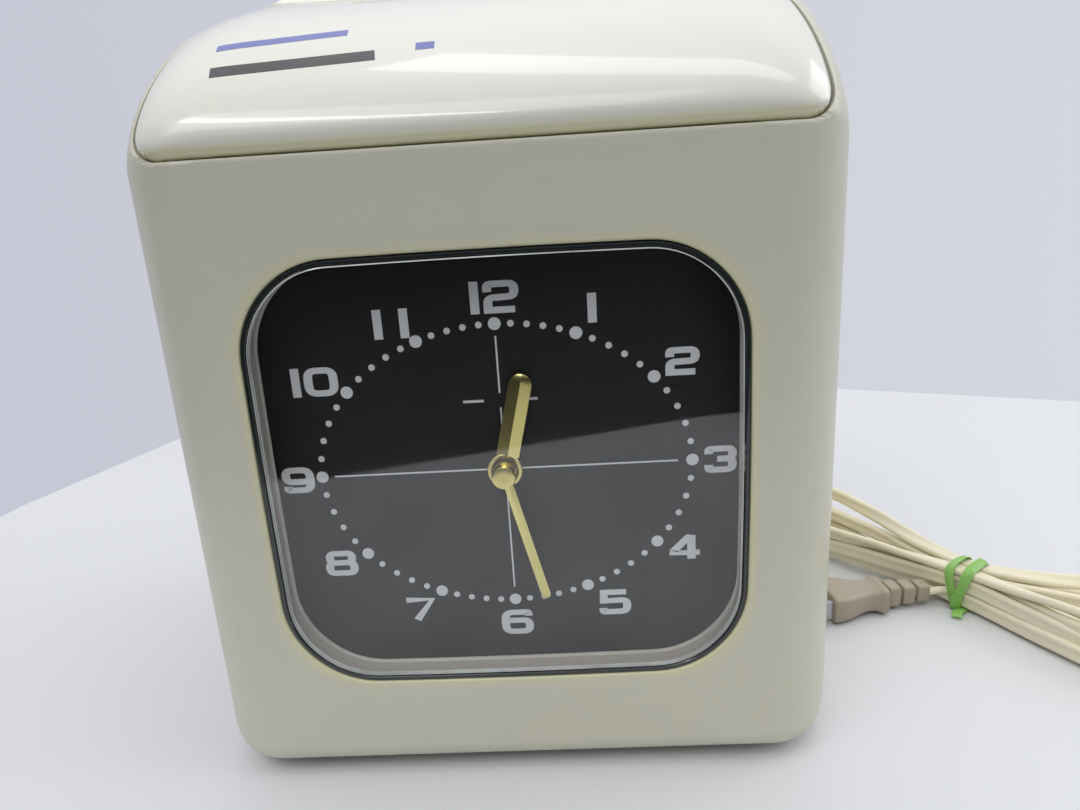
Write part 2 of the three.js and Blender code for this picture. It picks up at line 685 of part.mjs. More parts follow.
function chuteFrontPlate() {
  const plate = block([-CROSS_HALF, CROSS_HALF], [CHUTE_FRONT_Y - SHEET - GAP, CHUTE_FRONT_Y - GAP], [CHUTE_BOTTOM, CHUTE_TOP]);
  return cut(plate, block([-PRINT_WINDOW_HALF, PRINT_WINDOW_HALF], [30, 40], PRINT_WINDOW_Z));
}

function chuteRearPlate() {
  const plate = block([-CROSS_HALF, CROSS_HALF], [CHUTE_REAR_Y, CHUTE_REAR_Y + SHEET], [CHUTE_BOTTOM, CHUTE_TOP]);
  const rails = [-1, 1].map((side) => {
    const reach = [CARD_HALF, CARD_HALF + 5].map((x) => side * x).sort((a, b) => a - b);
    return block(reach, [CHUTE_FRONT_Y, CHUTE_REAR_Y + 0.1], [CHUTE_BOTTOM, CHUTE_TOP]);
  });
  const hammerWindow = block([-PRINT_WINDOW_HALF, PRINT_WINDOW_HALF], [42.5, 50], PRINT_WINDOW_Z);
  const armSlot = block([RACK_X - 2.5, RACK_X + 2.5], [42.5, 50], [CHUTE_BOTTOM + 2, 130]);
  return cut(joined(plate, ...rails), hammerWindow, armSlot);
}

// The receiver's shelf carries the card, and its rack stands behind the chute.
function cardReceiver() {
  const shelf = block([-40, 40], [CHUTE_FRONT_Y + 0.4, CHUTE_REAR_Y - 0.4], [RECEIVER_Z, RECEIVER_Z + 4]);
  const arm = block([RACK_X - 2, RACK_X + 2], [CHUTE_REAR_Y - 1, 46], [RECEIVER_Z, RECEIVER_Z + 4]);
  const root = RACK_PITCH_Y - TOOTH_ROOT * RACK_MODULE;
  const tip = RACK_PITCH_Y + TOOTH_TIP * RACK_MODULE;
  const pitch = Math.PI * RACK_MODULE;
  const teeth = 22;
  const low = PINION_Z + pitch / 2 - 20 * pitch;
  const points = [[44.6, low - 1.5], [root, low - 1.5]];
  for (let i = 0; i < teeth; i += 1) {
    const z = low + i * pitch;
    points.push([root, z - 0.24 * pitch], [tip, z - 0.1 * pitch], [tip, z + 0.1 * pitch], [root, z + 0.24 * pitch]);
  }
  const top = low + teeth * pitch;
  points.push([root, top], [44.6, top]);
  return joined(shelf, arm, slab("X", polygon(points), [RACK_X - 3, RACK_X + 3]));
}

const PINION_Y = RACK_PITCH_Y + PINION_TEETH * RACK_MODULE / 2;

function receiverPinion() {
  const outline = gearOutline(PINION_TEETH, RACK_MODULE, Math.PI, [PINION_Y, PINION_Z]);
  const shaft = rod("X", 1, [RACK_X - 3, RACK_X + 8], [PINION_Y, PINION_Z], 12);
  return joined(slab("X", outline, [RACK_X - 2.5, RACK_X + 2.5]), shaft);
}

function receiverMotor() {
  const can = rod("X", 6, [RACK_X + 6, RACK_X + 27], [PINION_Y, PINION_Z]);
  return cut(can, rod("X", 1.4, [RACK_X + 5, RACK_X + 10], [PINION_Y, PINION_Z], 12));
}

const BRACKET_X = [18.3, 19.5];
const TYPE_GEAR_TEETH = 24;
const TYPE_PINION_TEETH = 10;
const TYPE_MODULE = 0.9;
const TYPE_PINION_Z = TYPE_Z - (TYPE_GEAR_TEETH + TYPE_PINION_TEETH) * TYPE_MODULE / 2;

// The printing unit's crossbar, with two cheeks that hold the type wheels' shaft.
function typeBracket() {
  const cheeks = [-1, 1].map((side) => {
    const reach = BRACKET_X.map((x) => side * x).sort((a, b) => a - b);
    return block(reach, [16, 28], [138, 171.5]);
  });
  const crossbar = block([-CROSS_HALF, CROSS_HALF], [16, 28], [135.5, 139]);
  const shaftBore = rod("X", 2.2, [-30, 30], [TYPE_Y, TYPE_Z], 16);
  const motorBore = rod("X", 1.4, [10, 30], [TYPE_Y, TYPE_PINION_Z], 12);
  return cut(joined(crossbar, ...cheeks), shaftBore, motorBore);
}

const typeShaft = () => rod("X", 1.9, [-20.2, 20.2], [TYPE_Y, TYPE_Z], 16);

// A type wheel's rim carries one raised pad for each number that it prints.
function typeWheel([x0, x1], pads) {
  const points = [];
  for (let i = 0; i < pads; i += 1) {
    for (const [along, radius] of [[-0.3, TYPE_RADIUS], [0.3, TYPE_RADIUS], [0.42, 10.2], [0.58, 10.2]]) {
      const angle = (i + along) / pads * Math.PI * 2;
      points.push([TYPE_Y + radius * Math.cos(angle), TYPE_Z + radius * Math.sin(angle)]);
    }
  }
  return cut(slab("X", polygon(points), [x0, x1]), rod("X", 2.2, [x0 - 1, x1 + 1], [TYPE_Y, TYPE_Z], 16));
}

function minuteTypeWheel() {
  const outline = gearOutline(TYPE_GEAR_TEETH, TYPE_MODULE, -Math.PI / 2, [TYPE_Y, TYPE_Z]);
  const gear = cut(slab("X", outline, [7.9, 9.6]), rod("X", 2.2, [0, 20], [TYPE_Y, TYPE_Z], 16));
  return joined(typeWheel([2, 8], 12), gear);
}

function printPinion() {
  const phase = facingGap(TYPE_PINION_TEETH, Math.PI / 2);
  const outline = gearOutline(TYPE_PINION_TEETH, TYPE_MODULE, phase, [TYPE_Y, TYPE_PINION_Z]);
  return joined(slab("X", outline, [8.2, 9.9]), rod("X", 1, [8.2, 23], [TYPE_Y, TYPE_PINION_Z], 12));
}

function printMotor() {
  const can = rod("X", 7.3, [BRACKET_X[1] + GAP, 40], [TYPE_Y, TYPE_PINION_Z]);
  return cut(can, rod("X", 1.4, [15, 24], [TYPE_Y, TYPE_PINION_Z], 12));
}

function ribbonCassette() {
  const bridge = block([-54, 54], [-1, 6], [CASSETTE_BOTTOM, CASSETTE_TOP]);
  const pieces = [bridge];
  const wells = [];
  const posts = [];
  for (const side of [-1, 1]) {
    const [inner, outer] = [21, 54];
    const reach = (a, b) => [side * a, side * b].sort((p, q) => p - q);
    pieces.push(block(reach(inner, outer), [-1, 30.5], [CASSETTE_BOTTOM, CASSETTE_TOP]));
    pieces.push(block(reach(49.5, outer), [30, 35], [CASSETTE_BOTTOM + 0.5, CASSETTE_TOP]));
    wells.push(rod("Z", 13.2, [CASSETTE_BOTTOM + 1.5, CASSETTE_TOP + 1], [side * SPOOL_X, SPOOL_Y], 24));
    posts.push(rod("Z", 1.7, [CASSETTE_BOTTOM + 1, CASSETTE_TOP - 0.5], [side * SPOOL_X, SPOOL_Y], 12));
  }
  return joined(cut(joined(...pieces), ...wells), ...posts);
}

function ribbonSpool(side) {
  const low = CASSETTE_BOTTOM + 1.9;
  const wound = side < 0 ? 10 : 7;
  const profile = [
    [2.1, low],
    [12.4, low],
    [12.4, low + 1],
    [wound, low + 1],
    [wound, low + 11],
    [12.4, low + 11],
    [12.4, low + 12],
    [2.1, low + 12],
    [2.1, low],
  ];
  return turned(profile, "Z", [side * SPOOL_X, SPOOL_Y], 20);
}

const inkRibbon = () => block([-49.1, 49.1], [33.9, 34.4], [161.5, 172.5]);

function printHammer() {
  const arm = block([-14, 14], [HAMMER_Y - 1.4, HAMMER_Y + 1.4], [HAMMER_Z - 1, 171]);
  const head = block([-14, 14], [45.2, HAMMER_Y + 1.4], [163, 171]);
  const hub = rod("X", 3.2, [-14, 14], [HAMMER_Y, HAMMER_Z], 16);
  const tail = block([-5, 5], [48, HAMMER_Y], [HAMMER_Z - 6.3, HAMMER_Z - 2.6]);
  const neck = block([-5, 5], [HAMMER_Y - 2.6, HAMMER_Y + 1], [HAMMER_Z - 4, HAMMER_Z]);
  return cut(joined(arm, head, hub, tail, neck), rod("X", 1.8, [-20, 20], [HAMMER_Y, HAMMER_Z], 12));
}

const hammerShaft = () => rod("X", 1.5, [-59.5, 59.5], [HAMMER_Y, HAMMER_Z], 12);

const SOLENOID_Y = 50.5;

function hammerSolenoid() {
  const frame = block([-10, 10], [SOLENOID_Y - 5.4, SOLENOID_Y + 5.4], [98, 118]);
  const bore = rod("Z", 2.6, [104, 120], [0, SOLENOID_Y], 16);
  const windingGap = cut(block([-12, 12], [40, 60], [101, 115]), block([-8, 8], [SOLENOID_Y - 5, SOLENOID_Y + 5], [90, 120]));
  return cut(frame, bore, windingGap);
}

const solenoidPlunger = () => rod("Z", 2.2, [106, HAMMER_Z - 7], [0, SOLENOID_Y], 16);

// ---------------------------------------------------------------- setting keys, boards and power

const KEY_XS = [-20, 0, 20];
const KEY_Y = -34;
const KEY_RADIUS = 3.2;

function settingPanel() {
  const panel = block([-CROSS_HALF, CROSS_HALF], [-47, -8], [146.8, 148.4]);
  return cut(panel, ...KEY_XS.map((x) => rod("Z", KEY_RADIUS + 0.4, [140, 150], [x, KEY_Y], 16)));
}

const settingKey = (x) => joined(
  rod("Z", KEY_RADIUS, [144, 151.5], [x, KEY_Y], 16),
  rod("Z", KEY_RADIUS + 1.2, [142.6, 144.1], [x, KEY_Y], 16),
);

const settingBoard = () => block([-40, 40], [-46, -14], [138.5, 140.1]);

function mainBoard() {
  const board = block([-72, -70.4], [-30, 32], [30, 122]);
  const chips = [[-24, 40], [-4, 62], [12, 90]].map(([y, z]) => block([-70.5, -67.5], [y, y + 14], [z, z + 9]));
  const capacitors = [[-18, 104], [4, 36], [22, 46]].map((at) => rod("X", 3.5, [-70.5, -62], at, 14));
  return joined(board, ...chips, ...capacitors);
}

// A laminated core with its winding on the middle limb.
function transformer() {
  const core = block([6, 46], [4, 24], [10.8, 45]);
  const windows = [block([12, 20], [0, 30], [17, 39]), block([32, 40], [0, 30], [17, 39])];
  const winding = block([13, 39], [-1, 29], [18, 38]);
  return joined(cut(core, ...windows), winding);
}

// ---------------------------------------------------------------- cover lock

function lockBody() {
  const housing = rod("X", LOCK_RADIUS, [66.5, HALF_WIDTH - 0.4], [LOCK_Y, LOCK_Z], 24);
  return cut(housing, rod("X", 5.3, [60, 80], [LOCK_Y, LOCK_Z], 20));
}

function lockBarrel() {
  const barrel = rod("X", 5, [65.3, HALF_WIDTH - 0.6], [LOCK_Y, LOCK_Z], 20);
  return cut(barrel, block([72, 80], [LOCK_Y - 0.6, LOCK_Y + 0.6], [LOCK_Z - 3, LOCK_Z + 3]));
}

const lockCam = () => joined(
  rod("X", 4.5, [63, 65], [LOCK_Y, LOCK_Z], 16),
  block([63, 65], [LOCK_Y - 3.5, LOCK_Y + 3.5], [LOCK_Z, LOCK_Z + 13]),
);

// ---------------------------------------------------------------- mains lead

const LEAD_ROUTE = [
  [54, RELIEF_END_Y + GAP, LEAD_Z],
  [54, 87, 14.6],
  [55.5, 93, 12],
  [59.5, 99, 8],
  [66, 103.5, 4.4],
  [74, 105.3, 2.4],
  [82, 103.5, 1.8],
  [89, 98.5, 1.7],
  [94, 92, 1.7],
  [97.4, 86.8, 1.7],
];

function strainRelief() {
  const profile = [
    [0, REAR_Y - WALL - 1.8],
    [5.5, REAR_Y - WALL - 1.8],
    [5.5, REAR_Y - WALL - GAP],
    [4, REAR_Y - WALL - GAP],
    [4, REAR_Y + GAP],
    [5.5, REAR_Y + GAP],
    [5.5, REAR_Y + 1.8],
    [4, REAR_Y + 2.4],
    [3, RELIEF_END_Y],
    [0, RELIEF_END_Y],
  ];
  return turned(profile, "Y", [LEAD_X, LEAD_Z], 16);
}

function leadTube(points) {
  const path = new THREE.CatmullRomCurve3(points.map(([x, y, z]) => new THREE.Vector3(x, y, z)));
  const section = new THREE.Shape();
  section.absarc(0, 0, LEAD_RADIUS, 0, Math.PI * 2);
  const steps = Math.max(3, Math.round(path.getLength() / (5 * LEAD_RADIUS)));
  return solid(new THREE.ExtrudeGeometry(section, { steps, extrudePath: path, curveSegments: 8, bevelEnabled: false }));
}

// The tied hank lies on the table: an outline that is slim at the tie and round at both ends.
function leadHank() {
  const spine = new THREE.CatmullRomCurve3([HANK_START, HANK_TIE, HANK_END].map(([x, y]) => new THREE.Vector3(x, y, 0)));
  const steps = 24;
  const sides = [[], []];
  for (let i = 0; i <= steps; i += 1) {
    const along = i / steps;
    const at = spine.getPoint(along);
    const direction = spine.getTangent(along);
    const spread = Math.min(1, Math.abs(along - 0.5) / 0.35);
    const round = Math.sqrt(Math.max(0, 1 - Math.max(0, (Math.abs(along - 0.5) - 0.42) / 0.08) ** 2));
    const half = (5.8 + 8.2 * spread ** 2) * round;
    sides[0].push([at.x - direction.y * half, at.y + direction.x * half]);
    sides[1].push([at.x + direction.y * half, at.y - direction.x * half]);
  }
  const outline = [...sides[1], ...sides[0].reverse().slice(1, -1)];
  return slab("Z", polygon(outline), [HANK_LOW, HANK_HIGH]);
}

function tieBand() {
  const outer = new THREE.BoxGeometry(5, 14, HANK_HIGH - HANK_LOW + 2.2);
  const inner = new THREE.BoxGeometry(7, 12.4, HANK_HIGH - HANK_LOW + 0.6);
  const angle = Math.atan2(HANK_END[1] - HANK_START[1], HANK_END[0] - HANK_START[0]);
  for (const geometry of [outer, inner]) {
    geometry.rotateZ(angle);
    geometry.translate(HANK_TIE[0], HANK_TIE[1], (HANK_LOW + HANK_HIGH) / 2 + 0.1);
  }
  return cut(solid(outer), solid(inner));
}

// The plug points towards -X and lies on its flat side. It is drawn along X from its lead end.
const PLUG_LEAD_END = [132.6, 9.3];
const PLUG_Z = 5;

function placedPlug(geometry) {
  geometry.rotateZ(PLUG_TURN);
  geometry.translate(PLUG_LEAD_END[0], PLUG_LEAD_END[1], PLUG_Z);
  return solid(geometry);
}

function powerPlug() {
  const outline = new THREE.Shape();
  outline.moveTo(0, -2.6);
  outline.lineTo(0, 2.6);
  outline.lineTo(-15.5, 3.4);
  outline.lineTo(-15.5, 6.2);
  outline.lineTo(-18.5, 6.2);
  outline.quadraticCurveTo(-24, 4.6, -28, 8);
  outline.lineTo(-35.5, 9);
  outline.lineTo(-35.5, -9);
  outline.lineTo(-28, -8);
  outline.quadraticCurveTo(-24, -4.6, -18.5, -6.2);
  outline.lineTo(-15.5, -6.2);
  outline.lineTo(-15.5, -3.4);
  const height = 9.4;
  const geometry = new THREE.ExtrudeGeometry(outline, { depth: height, bevelEnabled: false, curveSegments: 5 });
  geometry.translate(0, 0, -height / 2);
  return joined(placedPlug(geometry), plugBlade(-1), plugBlade(1));
}

function plugBlade(side) {
  const geometry = new THREE.BoxGeometry(19, 1.5, 6.3);
  geometry.translate(-43.5, side * 6.35, 0);
  return placedPlug(geometry);
}

// ---------------------------------------------------------------- assembly

addPart("front_case", frontCase(), CREAM);
addPart("top_cover", topCover(), COVER_CREAM);
addPart("card_hood", cardHood(), COVER_CREAM);
addPart("rear_panel", rearPanel(), CREAM);
addPart("base_plate", basePlate(), CREAM);
for (const [corner, at] of Object.entries(FEET)) {
  addPart(`foot_${corner}`, foot(at), RUBBER);
}

addPart("window_gasket", windowGasket(), BLACK);
addPart("window_lens", windowLens(), CLEAR);
addPart("window_bezel", windowBezel(), BEZEL_BEIGE);
addPart("dial_plate", dialPlate(), DIAL_BLACK);
addPart("hour_hand", hourHand(), GOLD);
addPart("minute_hand", minuteHand(), GOLD);

addPart("movement_front_plate", movementFrontPlate(), BRASS);
addPart("movement_back_plate", movementBackPlate(), BRASS);
addPart("minute_arbor", minuteArbor(), BRASS);
addPart("hour_wheel", hourWheel(), BRASS);
addPart("motion_wheel", motionWheel(), BRASS);
addPart("third_wheel", thirdWheel(), BRASS);
addPart("motor_rotor", motorRotor(), STEEL);
addPart("motor_stator", motorStator(), ZINC);

addPart("chassis", chassis(), ZINC);
addPart("chute_front_plate", chuteFrontPlate(), STEEL);
addPart("chute_rear_plate", chuteRearPlate(), STEEL);
addPart("card_receiver", cardReceiver(), BLACK);
addPart("receiver_pinion", receiverPinion(), WHITE_PLASTIC);
addPart("receiver_motor", receiverMotor(), ZINC);

addPart("type_bracket", typeBracket(), ZINC);
addPart("type_shaft", typeShaft(), STEEL);
addPart("day_type_wheel", typeWheel([-16, -10], 16), BLACK);
addPart("hour_type_wheel", typeWheel([-8, -2], 12), BLACK);
addPart("minute_type_wheel", minuteTypeWheel(), BLACK);
addPart("print_pinion", printPinion(), WHITE_PLASTIC);
addPart("print_motor", printMotor(), ZINC);
addPart("print_hammer", printHammer(), STEEL);
addPart("hammer_shaft", hammerShaft(), STEEL);
addPart("hammer_solenoid", hammerSolenoid(), STEEL);
addPart("solenoid_plunger", solenoidPlunger(), STEEL);
addPart("ribbon_cassette", ribbonCassette(), BLACK);
addPart("ribbon_spool_left", ribbonSpool(-1), WHITE_PLASTIC);
addPart("ribbon_spool_right", ribbonSpool(1), WHITE_PLASTIC);
addPart("ink_ribbon", inkRibbon(), RIBBON_INK);

addPart("setting_panel", settingPanel(), CREAM);
KEY_XS.forEach((x, i) => addPart(`setting_key_${i + 1}`, settingKey(x), BLUE_KEY));
addPart("setting_board", settingBoard(), BOARD_GREEN);
addPart("main_board", mainBoard(), BOARD_GREEN);
addPart("transformer", transformer(), STEEL);

addPart("lock_body", lockBody(), ZINC);
addPart("lock_barrel", lockBarrel(), STEEL);
addPart("lock_cam", lockCam(), STEEL);

addPart("strain_relief", strainRelief(), LEAD_CREAM);
addPart("mains_lead", leadTube(LEAD_ROUTE), LEAD_CREAM);
addPart("lead_hank", leadHank(), LEAD_CREAM);
addPart("lead_tie", tieBand(), TIE_GREEN);
addPart("power_plug", powerPlug(), LEAD_CREAM);

export default group;
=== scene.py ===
import json
import math

import bmesh
import bpy
from mathutils import Matrix, Vector, noise

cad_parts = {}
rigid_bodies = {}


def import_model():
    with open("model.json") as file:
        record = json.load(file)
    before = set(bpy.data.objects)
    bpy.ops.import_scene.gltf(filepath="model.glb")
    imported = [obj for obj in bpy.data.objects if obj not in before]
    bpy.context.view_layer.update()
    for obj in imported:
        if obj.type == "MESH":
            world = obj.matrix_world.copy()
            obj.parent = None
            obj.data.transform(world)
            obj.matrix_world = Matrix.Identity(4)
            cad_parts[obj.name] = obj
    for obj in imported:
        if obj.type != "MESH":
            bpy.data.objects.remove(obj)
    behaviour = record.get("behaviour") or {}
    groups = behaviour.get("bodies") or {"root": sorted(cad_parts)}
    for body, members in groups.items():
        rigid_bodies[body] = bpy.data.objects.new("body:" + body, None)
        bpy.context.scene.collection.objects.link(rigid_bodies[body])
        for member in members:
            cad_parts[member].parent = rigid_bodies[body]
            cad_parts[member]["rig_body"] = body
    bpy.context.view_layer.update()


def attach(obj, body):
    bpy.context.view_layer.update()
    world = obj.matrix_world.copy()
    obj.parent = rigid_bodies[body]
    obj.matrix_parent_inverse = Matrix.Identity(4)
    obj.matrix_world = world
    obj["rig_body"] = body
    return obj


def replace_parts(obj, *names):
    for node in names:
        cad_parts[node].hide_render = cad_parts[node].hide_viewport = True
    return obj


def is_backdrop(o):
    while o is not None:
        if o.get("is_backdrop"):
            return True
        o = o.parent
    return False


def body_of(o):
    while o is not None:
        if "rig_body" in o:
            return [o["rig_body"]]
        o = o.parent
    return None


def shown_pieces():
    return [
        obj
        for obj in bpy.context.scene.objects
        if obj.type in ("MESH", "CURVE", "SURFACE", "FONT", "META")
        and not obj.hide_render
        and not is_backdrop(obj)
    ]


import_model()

# Sizes are in millimetres in the part's frame: X to the right, Y to the rear, Z up. MM turns them into metres.
MM = 0.001
FRONT_Y, REAR_Y = -61.5, 61.5
HALF_WIDTH, CORNER, SHOULDER, REAR_CORNER, TOE = 78.0, 16.0, 8.0, 4.0, 6.0
CASE_BOTTOM, WALL, SEAM_Z, HEIGHT = 3.0, 2.5, 150.2, 213.0
MOUTH_HALF, MOUTH_RADIUS = 72.3, 7.0
CASE_ROLL, COVER_ROLL = 0.7, 2.0
COVER_EDGE, COVER_WALL = 0.15, 2.2
COVER_REAR_Y, HOOD_FRONT_Y = 27.3, 28.3
HINGE_Y, HINGE_Z = 24.0, 193.0
LIP_TOP, REAR_TOP = 153.5, 206.0
FALL_START, FALL = 52.0, 9.0
HOOD_END_Z = 200.4
DIAL_Z, WINDOW_Z, DIAL_Y = 78.0, 78.3, -52.7
WINDOW_HALF_W, WINDOW_HALF_H, WINDOW_RADIUS = 54.7, 50.5, 21.0
LOCK_Y, LOCK_Z = -15.0, 158.0
PRINT_RISE, LINE_RISE = 0.07, 0.04
TRACK_ACROSS, TRACK_UP = 43.8, 34.4
SCREW_HOLE = 1.6
EXIT = (54.0, 15.0)


# -------- materials


class Graph:
    """The nodes of a material or of the world, with short ways to add to them."""

    def __init__(self, owner):
        owner.use_nodes = True
        self.nodes, self.links = owner.node_tree.nodes, owner.node_tree.links

    def fill(self, node, values):
        """Give each named socket of a node its number or colour, or link it to another node's output."""
        for name, value in values.items():
            if isinstance(value, bpy.types.NodeSocket):
                self.links.new(value, node.inputs[name])
            else:
                node.inputs[name].default_value = value
        return node

    def add(self, kind, values):
        return self.fill(self.nodes.new("ShaderNode" + kind), values)

    def noise(self, where, scale, detail, stretch=None):
        if stretch:
            where = self.add("Mapping", {"Vector": where, "Scale": stretch}).outputs["Vector"]
        return self.add("TexNoise", {"Vector": where, "Scale": scale, "Detail": detail}).outputs["Fac"]

    def spread(self, value, low, high, low_to, high_to):
        """A value's range moved to another range and clamped to it."""
        sockets = {"Value": value, "From Min": low, "From Max": high, "To Min": low_to, "To Max": high_to}
        return self.add("MapRange", sockets).outputs["Result"]

    def mixed(self, factor, first, second):
        """A mix of two colours, each a tuple or another node's output."""
        made = self.add("Mix", {"Factor": factor})
        made.data_type = "RGBA"
        for name, value in (("A", first), ("B", second)):
            socket = next(s for s in made.inputs if s.name == name and s.type == "RGBA")
            if isinstance(value, tuple):
                socket.default_value = (*value, 1)
            else:
                self.links.new(value, socket)
        return next(s for s in made.outputs if s.type == "RGBA")

    def maths(self, operation, first, second=0.0):
        made = self.add("Math", {0: first, 1: second})
        made.operation = operation
        return made.outputs["Value"]

    def bump(self, height, strength, distance, below=None):
        """A normal raised by a height of up to `distance` millimetres, on top of the normal `below`."""
        values = {"Height": height, "Strength": strength, "Distance": distance * MM}
        if below is not None:
            values["Normal"] = below
        return self.add("Bump", values).outputs["Normal"]

    def axes(self, where):
        return self.add("SeparateXYZ", {"Vector": where}).outputs


def new_material(name):
    material = bpy.data.materials.new(name)
    graph = Graph(material)
    where = graph.nodes.new("ShaderNodeTexCoord").outputs["Object"]
    return material, graph, graph.nodes["Principled BSDF"], where


def finish(name, color, rough, metal=0.0, vary=0.06, patch=35.0, grain=1400.0, bump=0.05, depth=0.05,
           tint=None, coat=0.0, stretch=None, subsurface=0.0):
    """A surface with slow colour patches, fine roughness changes and a grain in its normal."""
    material, graph, shader, where = new_material(name)
    slow = graph.noise(where, patch, 5.0)
    fine = graph.noise(where, grain, 3.0, stretch)
    darker = tuple(c * (1 - vary) for c in color) if tint is None else tint
    graph.fill(shader, {
        "Base Color": graph.mixed(graph.spread(slow, 0.35, 0.65, 0, 1), color, darker),
        "Roughness": graph.spread(slow, 0.3, 0.7, rough * 0.86, min(1, rough * 1.14)),
        "Normal": graph.bump(fine, bump, depth),
        "Metallic": metal,
        "IOR": 1.5,
    })
    if coat:
        graph.fill(shader, {"Coat Weight": coat, "Coat Roughness": 0.06})
    if subsurface:
        graph.fill(shader, {"Subsurface Weight": subsurface, "Subsurface Radius": (0.003, 0.002, 0.001),
                            "Subsurface Scale": 0.5})
    return material


def window_rim_highlight(graph, where):
    """A painted highlight round the window: 0.75 at the window's edge on the front, falling to 0 a little way
    outside it.
    """
    at = graph.axes(where)
    squares = []
    for axis, centre, half in (("X", 0.0, WINDOW_HALF_W), ("Z", WINDOW_Z, WINDOW_HALF_H)):
        away = graph.maths("ABSOLUTE", graph.maths("SUBTRACT", at[axis], centre * MM))
        away = graph.maths("SUBTRACT", away, (half - WINDOW_RADIUS) * MM)
        squares.append(graph.maths("POWER", graph.maths("MAXIMUM", away, 0.0), 2.0))
    reach = graph.maths("SQRT", graph.maths("ADD", *squares))
    near = graph.spread(reach, (WINDOW_RADIUS + 0.4) * MM, (WINDOW_RADIUS + 3.0) * MM, 0.75, 0)
    return graph.maths("MULTIPLY", near, graph.maths("LESS_THAN", at["Y"], (FRONT_Y + 2) * MM))


def cover_rim(graph, where):
    """0.9 at the cover's lower edge, falling to 0 a little way above it."""
    return graph.spread(graph.axes(where)["Z"], (SEAM_Z + 1.2) * MM, (SEAM_Z + 3.4) * MM, 0.9, 0)


def aged_plastic(name, color, yellowed, rough, coat, bump, wear, rim):
    """Moulded ABS that has yellowed in patches. `rim` gives where a fixed yellow is mixed in: a painted highlight
    round the case's window, and a band along the cover's lower edge. `wear` is how scuffed and dull it is.
    """
    material, graph, shader, where = new_material(name)
    face = graph.mixed(graph.spread(graph.noise(where, 9.0, 3.0), 0.38, 0.66, 0, 1), color, yellowed)
    if wear:
        mottle = graph.noise(where, 160.0, 6.0)
        scuffs = graph.noise(where, 260.0, 8.0, (1.0, 1.0, 0.12))
        dirt = graph.spread(mottle, 0.5, 0.75, 0, 0.5 * wear)
        marks = graph.spread(scuffs, 0.70, 0.76, 0, 0.3 * wear)
        face = graph.mixed(dirt, face, tuple(c * 0.93 for c in color))
        face = graph.mixed(marks, face, tuple(c * 0.7 for c in color))
        rough = graph.spread(mottle, 0.35, 0.7, rough * (1 - 0.12 * wear), rough * (1 + 0.18 * wear))
    grain = graph.bump(graph.noise(where, 1500.0, 2.0), bump, 0.03)
    # The rim mixes in a fixed yellow: on the case it is a painted highlight round the window, on the cover a band
    # along its lower edge.
    graph.fill(shader, {
        "Base Color": graph.mixed(rim(graph, where), face, (0.68, 0.67, 0.40)),
        "Roughness": rough,
        "Normal": graph.bump(graph.noise(where, 22.0, 2.0), 0.1, 0.35, grain),
        "Coat Weight": coat,
        "Coat Roughness": 0.05,
        "Subsurface Weight": 0.04,
        "Subsurface Radius": (0.004, 0.003, 0.0015),
    })
    return material


def clear_sheet(name, share):
    """A clear acrylic sheet: light passes straight through it, and a share is mirrored."""
    material, graph, shader, where = new_material(name)
    graph.nodes.remove(shader)
    smear = graph.noise(where, 60.0, 6.0)
    through = graph.add("BsdfTransparent", {"Color": (0.965, 0.97, 0.965, 1)})
    mirror = graph.add("BsdfGlossy", {
        "Color": (0.97, 0.985, 1.0, 1),
        "Roughness": graph.spread(smear, 0.4, 0.75, 0.015, 0.07),
        "Normal": graph.bump(graph.noise(where, 14.0, 1.0), 0.05, 0.25),
    })
    mirrored = graph.spread(smear, 0.3, 0.8, share, share * 1.25)
    joined = graph.add("MixShader", {0: mirrored, 1: through.outputs["BSDF"], 2: mirror.outputs["BSDF"]})
    graph.fill(graph.nodes["Material Output"], {"Surface": joined.outputs["Shader"]})
    return material


# The case's rim is a painted highlight round the window, in a fixed yellow.
CASE = aged_plastic("aged_case", (0.62, 0.61, 0.515), (0.62, 0.605, 0.49), 0.40, 0.15, 0.12, 0.6, window_rim_highlight)
COVER = aged_plastic("aged_cover", (0.77, 0.765, 0.70), (0.76, 0.75, 0.66), 0.27, 0.8, 0.04, 0.0, cover_rim)
BEZEL = finish("bezel_beige", (0.52, 0.48, 0.44), 0.36, patch=60.0)
GASKET = finish("gasket_black", (0.018, 0.024, 0.026), 0.13, vary=0.3, coat=0.5)
LENS = clear_sheet("clear_lens", 0.042)
# Painted highlight: the clear sheet's edge faces are an opaque light grey, standing in for the bright lines along
# the lens edge.
LENS_EDGE_HIGHLIGHT = finish("lens_edge_highlight", (0.62, 0.65, 0.64), 0.14, vary=0.3, patch=90.0, coat=0.7)
DIAL = finish("dial_black", (0.0075, 0.0078, 0.009), 0.5, vary=0.25, grain=2600.0, bump=0.12)
PRINT = finish("dial_print", (0.82, 0.83, 0.86), 0.55, grain=2500.0, bump=0.1)
GOLD = finish("gold_hands", (0.91, 0.79, 0.31), 0.24, 1.0, vary=0.1, bump=0.06,
              stretch=(1.0, 1.0, 0.08))
CAP_GOLD = finish("gold_cap", (0.74, 0.67, 0.27), 0.5, 0.45, vary=0.1, bump=0.06)
BRASS = finish("brass", (0.70, 0.50, 0.19), 0.32, 1.0, vary=0.22, grain=900.0)
STEEL = finish("steel", (0.52, 0.52, 0.53), 0.3, 1.0, vary=0.12, stretch=(1.0, 0.06, 1.0), bump=0.12)
ZINC = finish("zinc_plate", (0.60, 0.61, 0.62), 0.4, 1.0, patch=180.0, tint=(0.55, 0.57, 0.52))
BLACK = finish("black_nylon", (0.022, 0.022, 0.025), 0.45, vary=0.2)
RUBBER = finish("foot_rubber", (0.035, 0.024, 0.02), 0.75, vary=0.3, bump=0.3, grain=900.0)
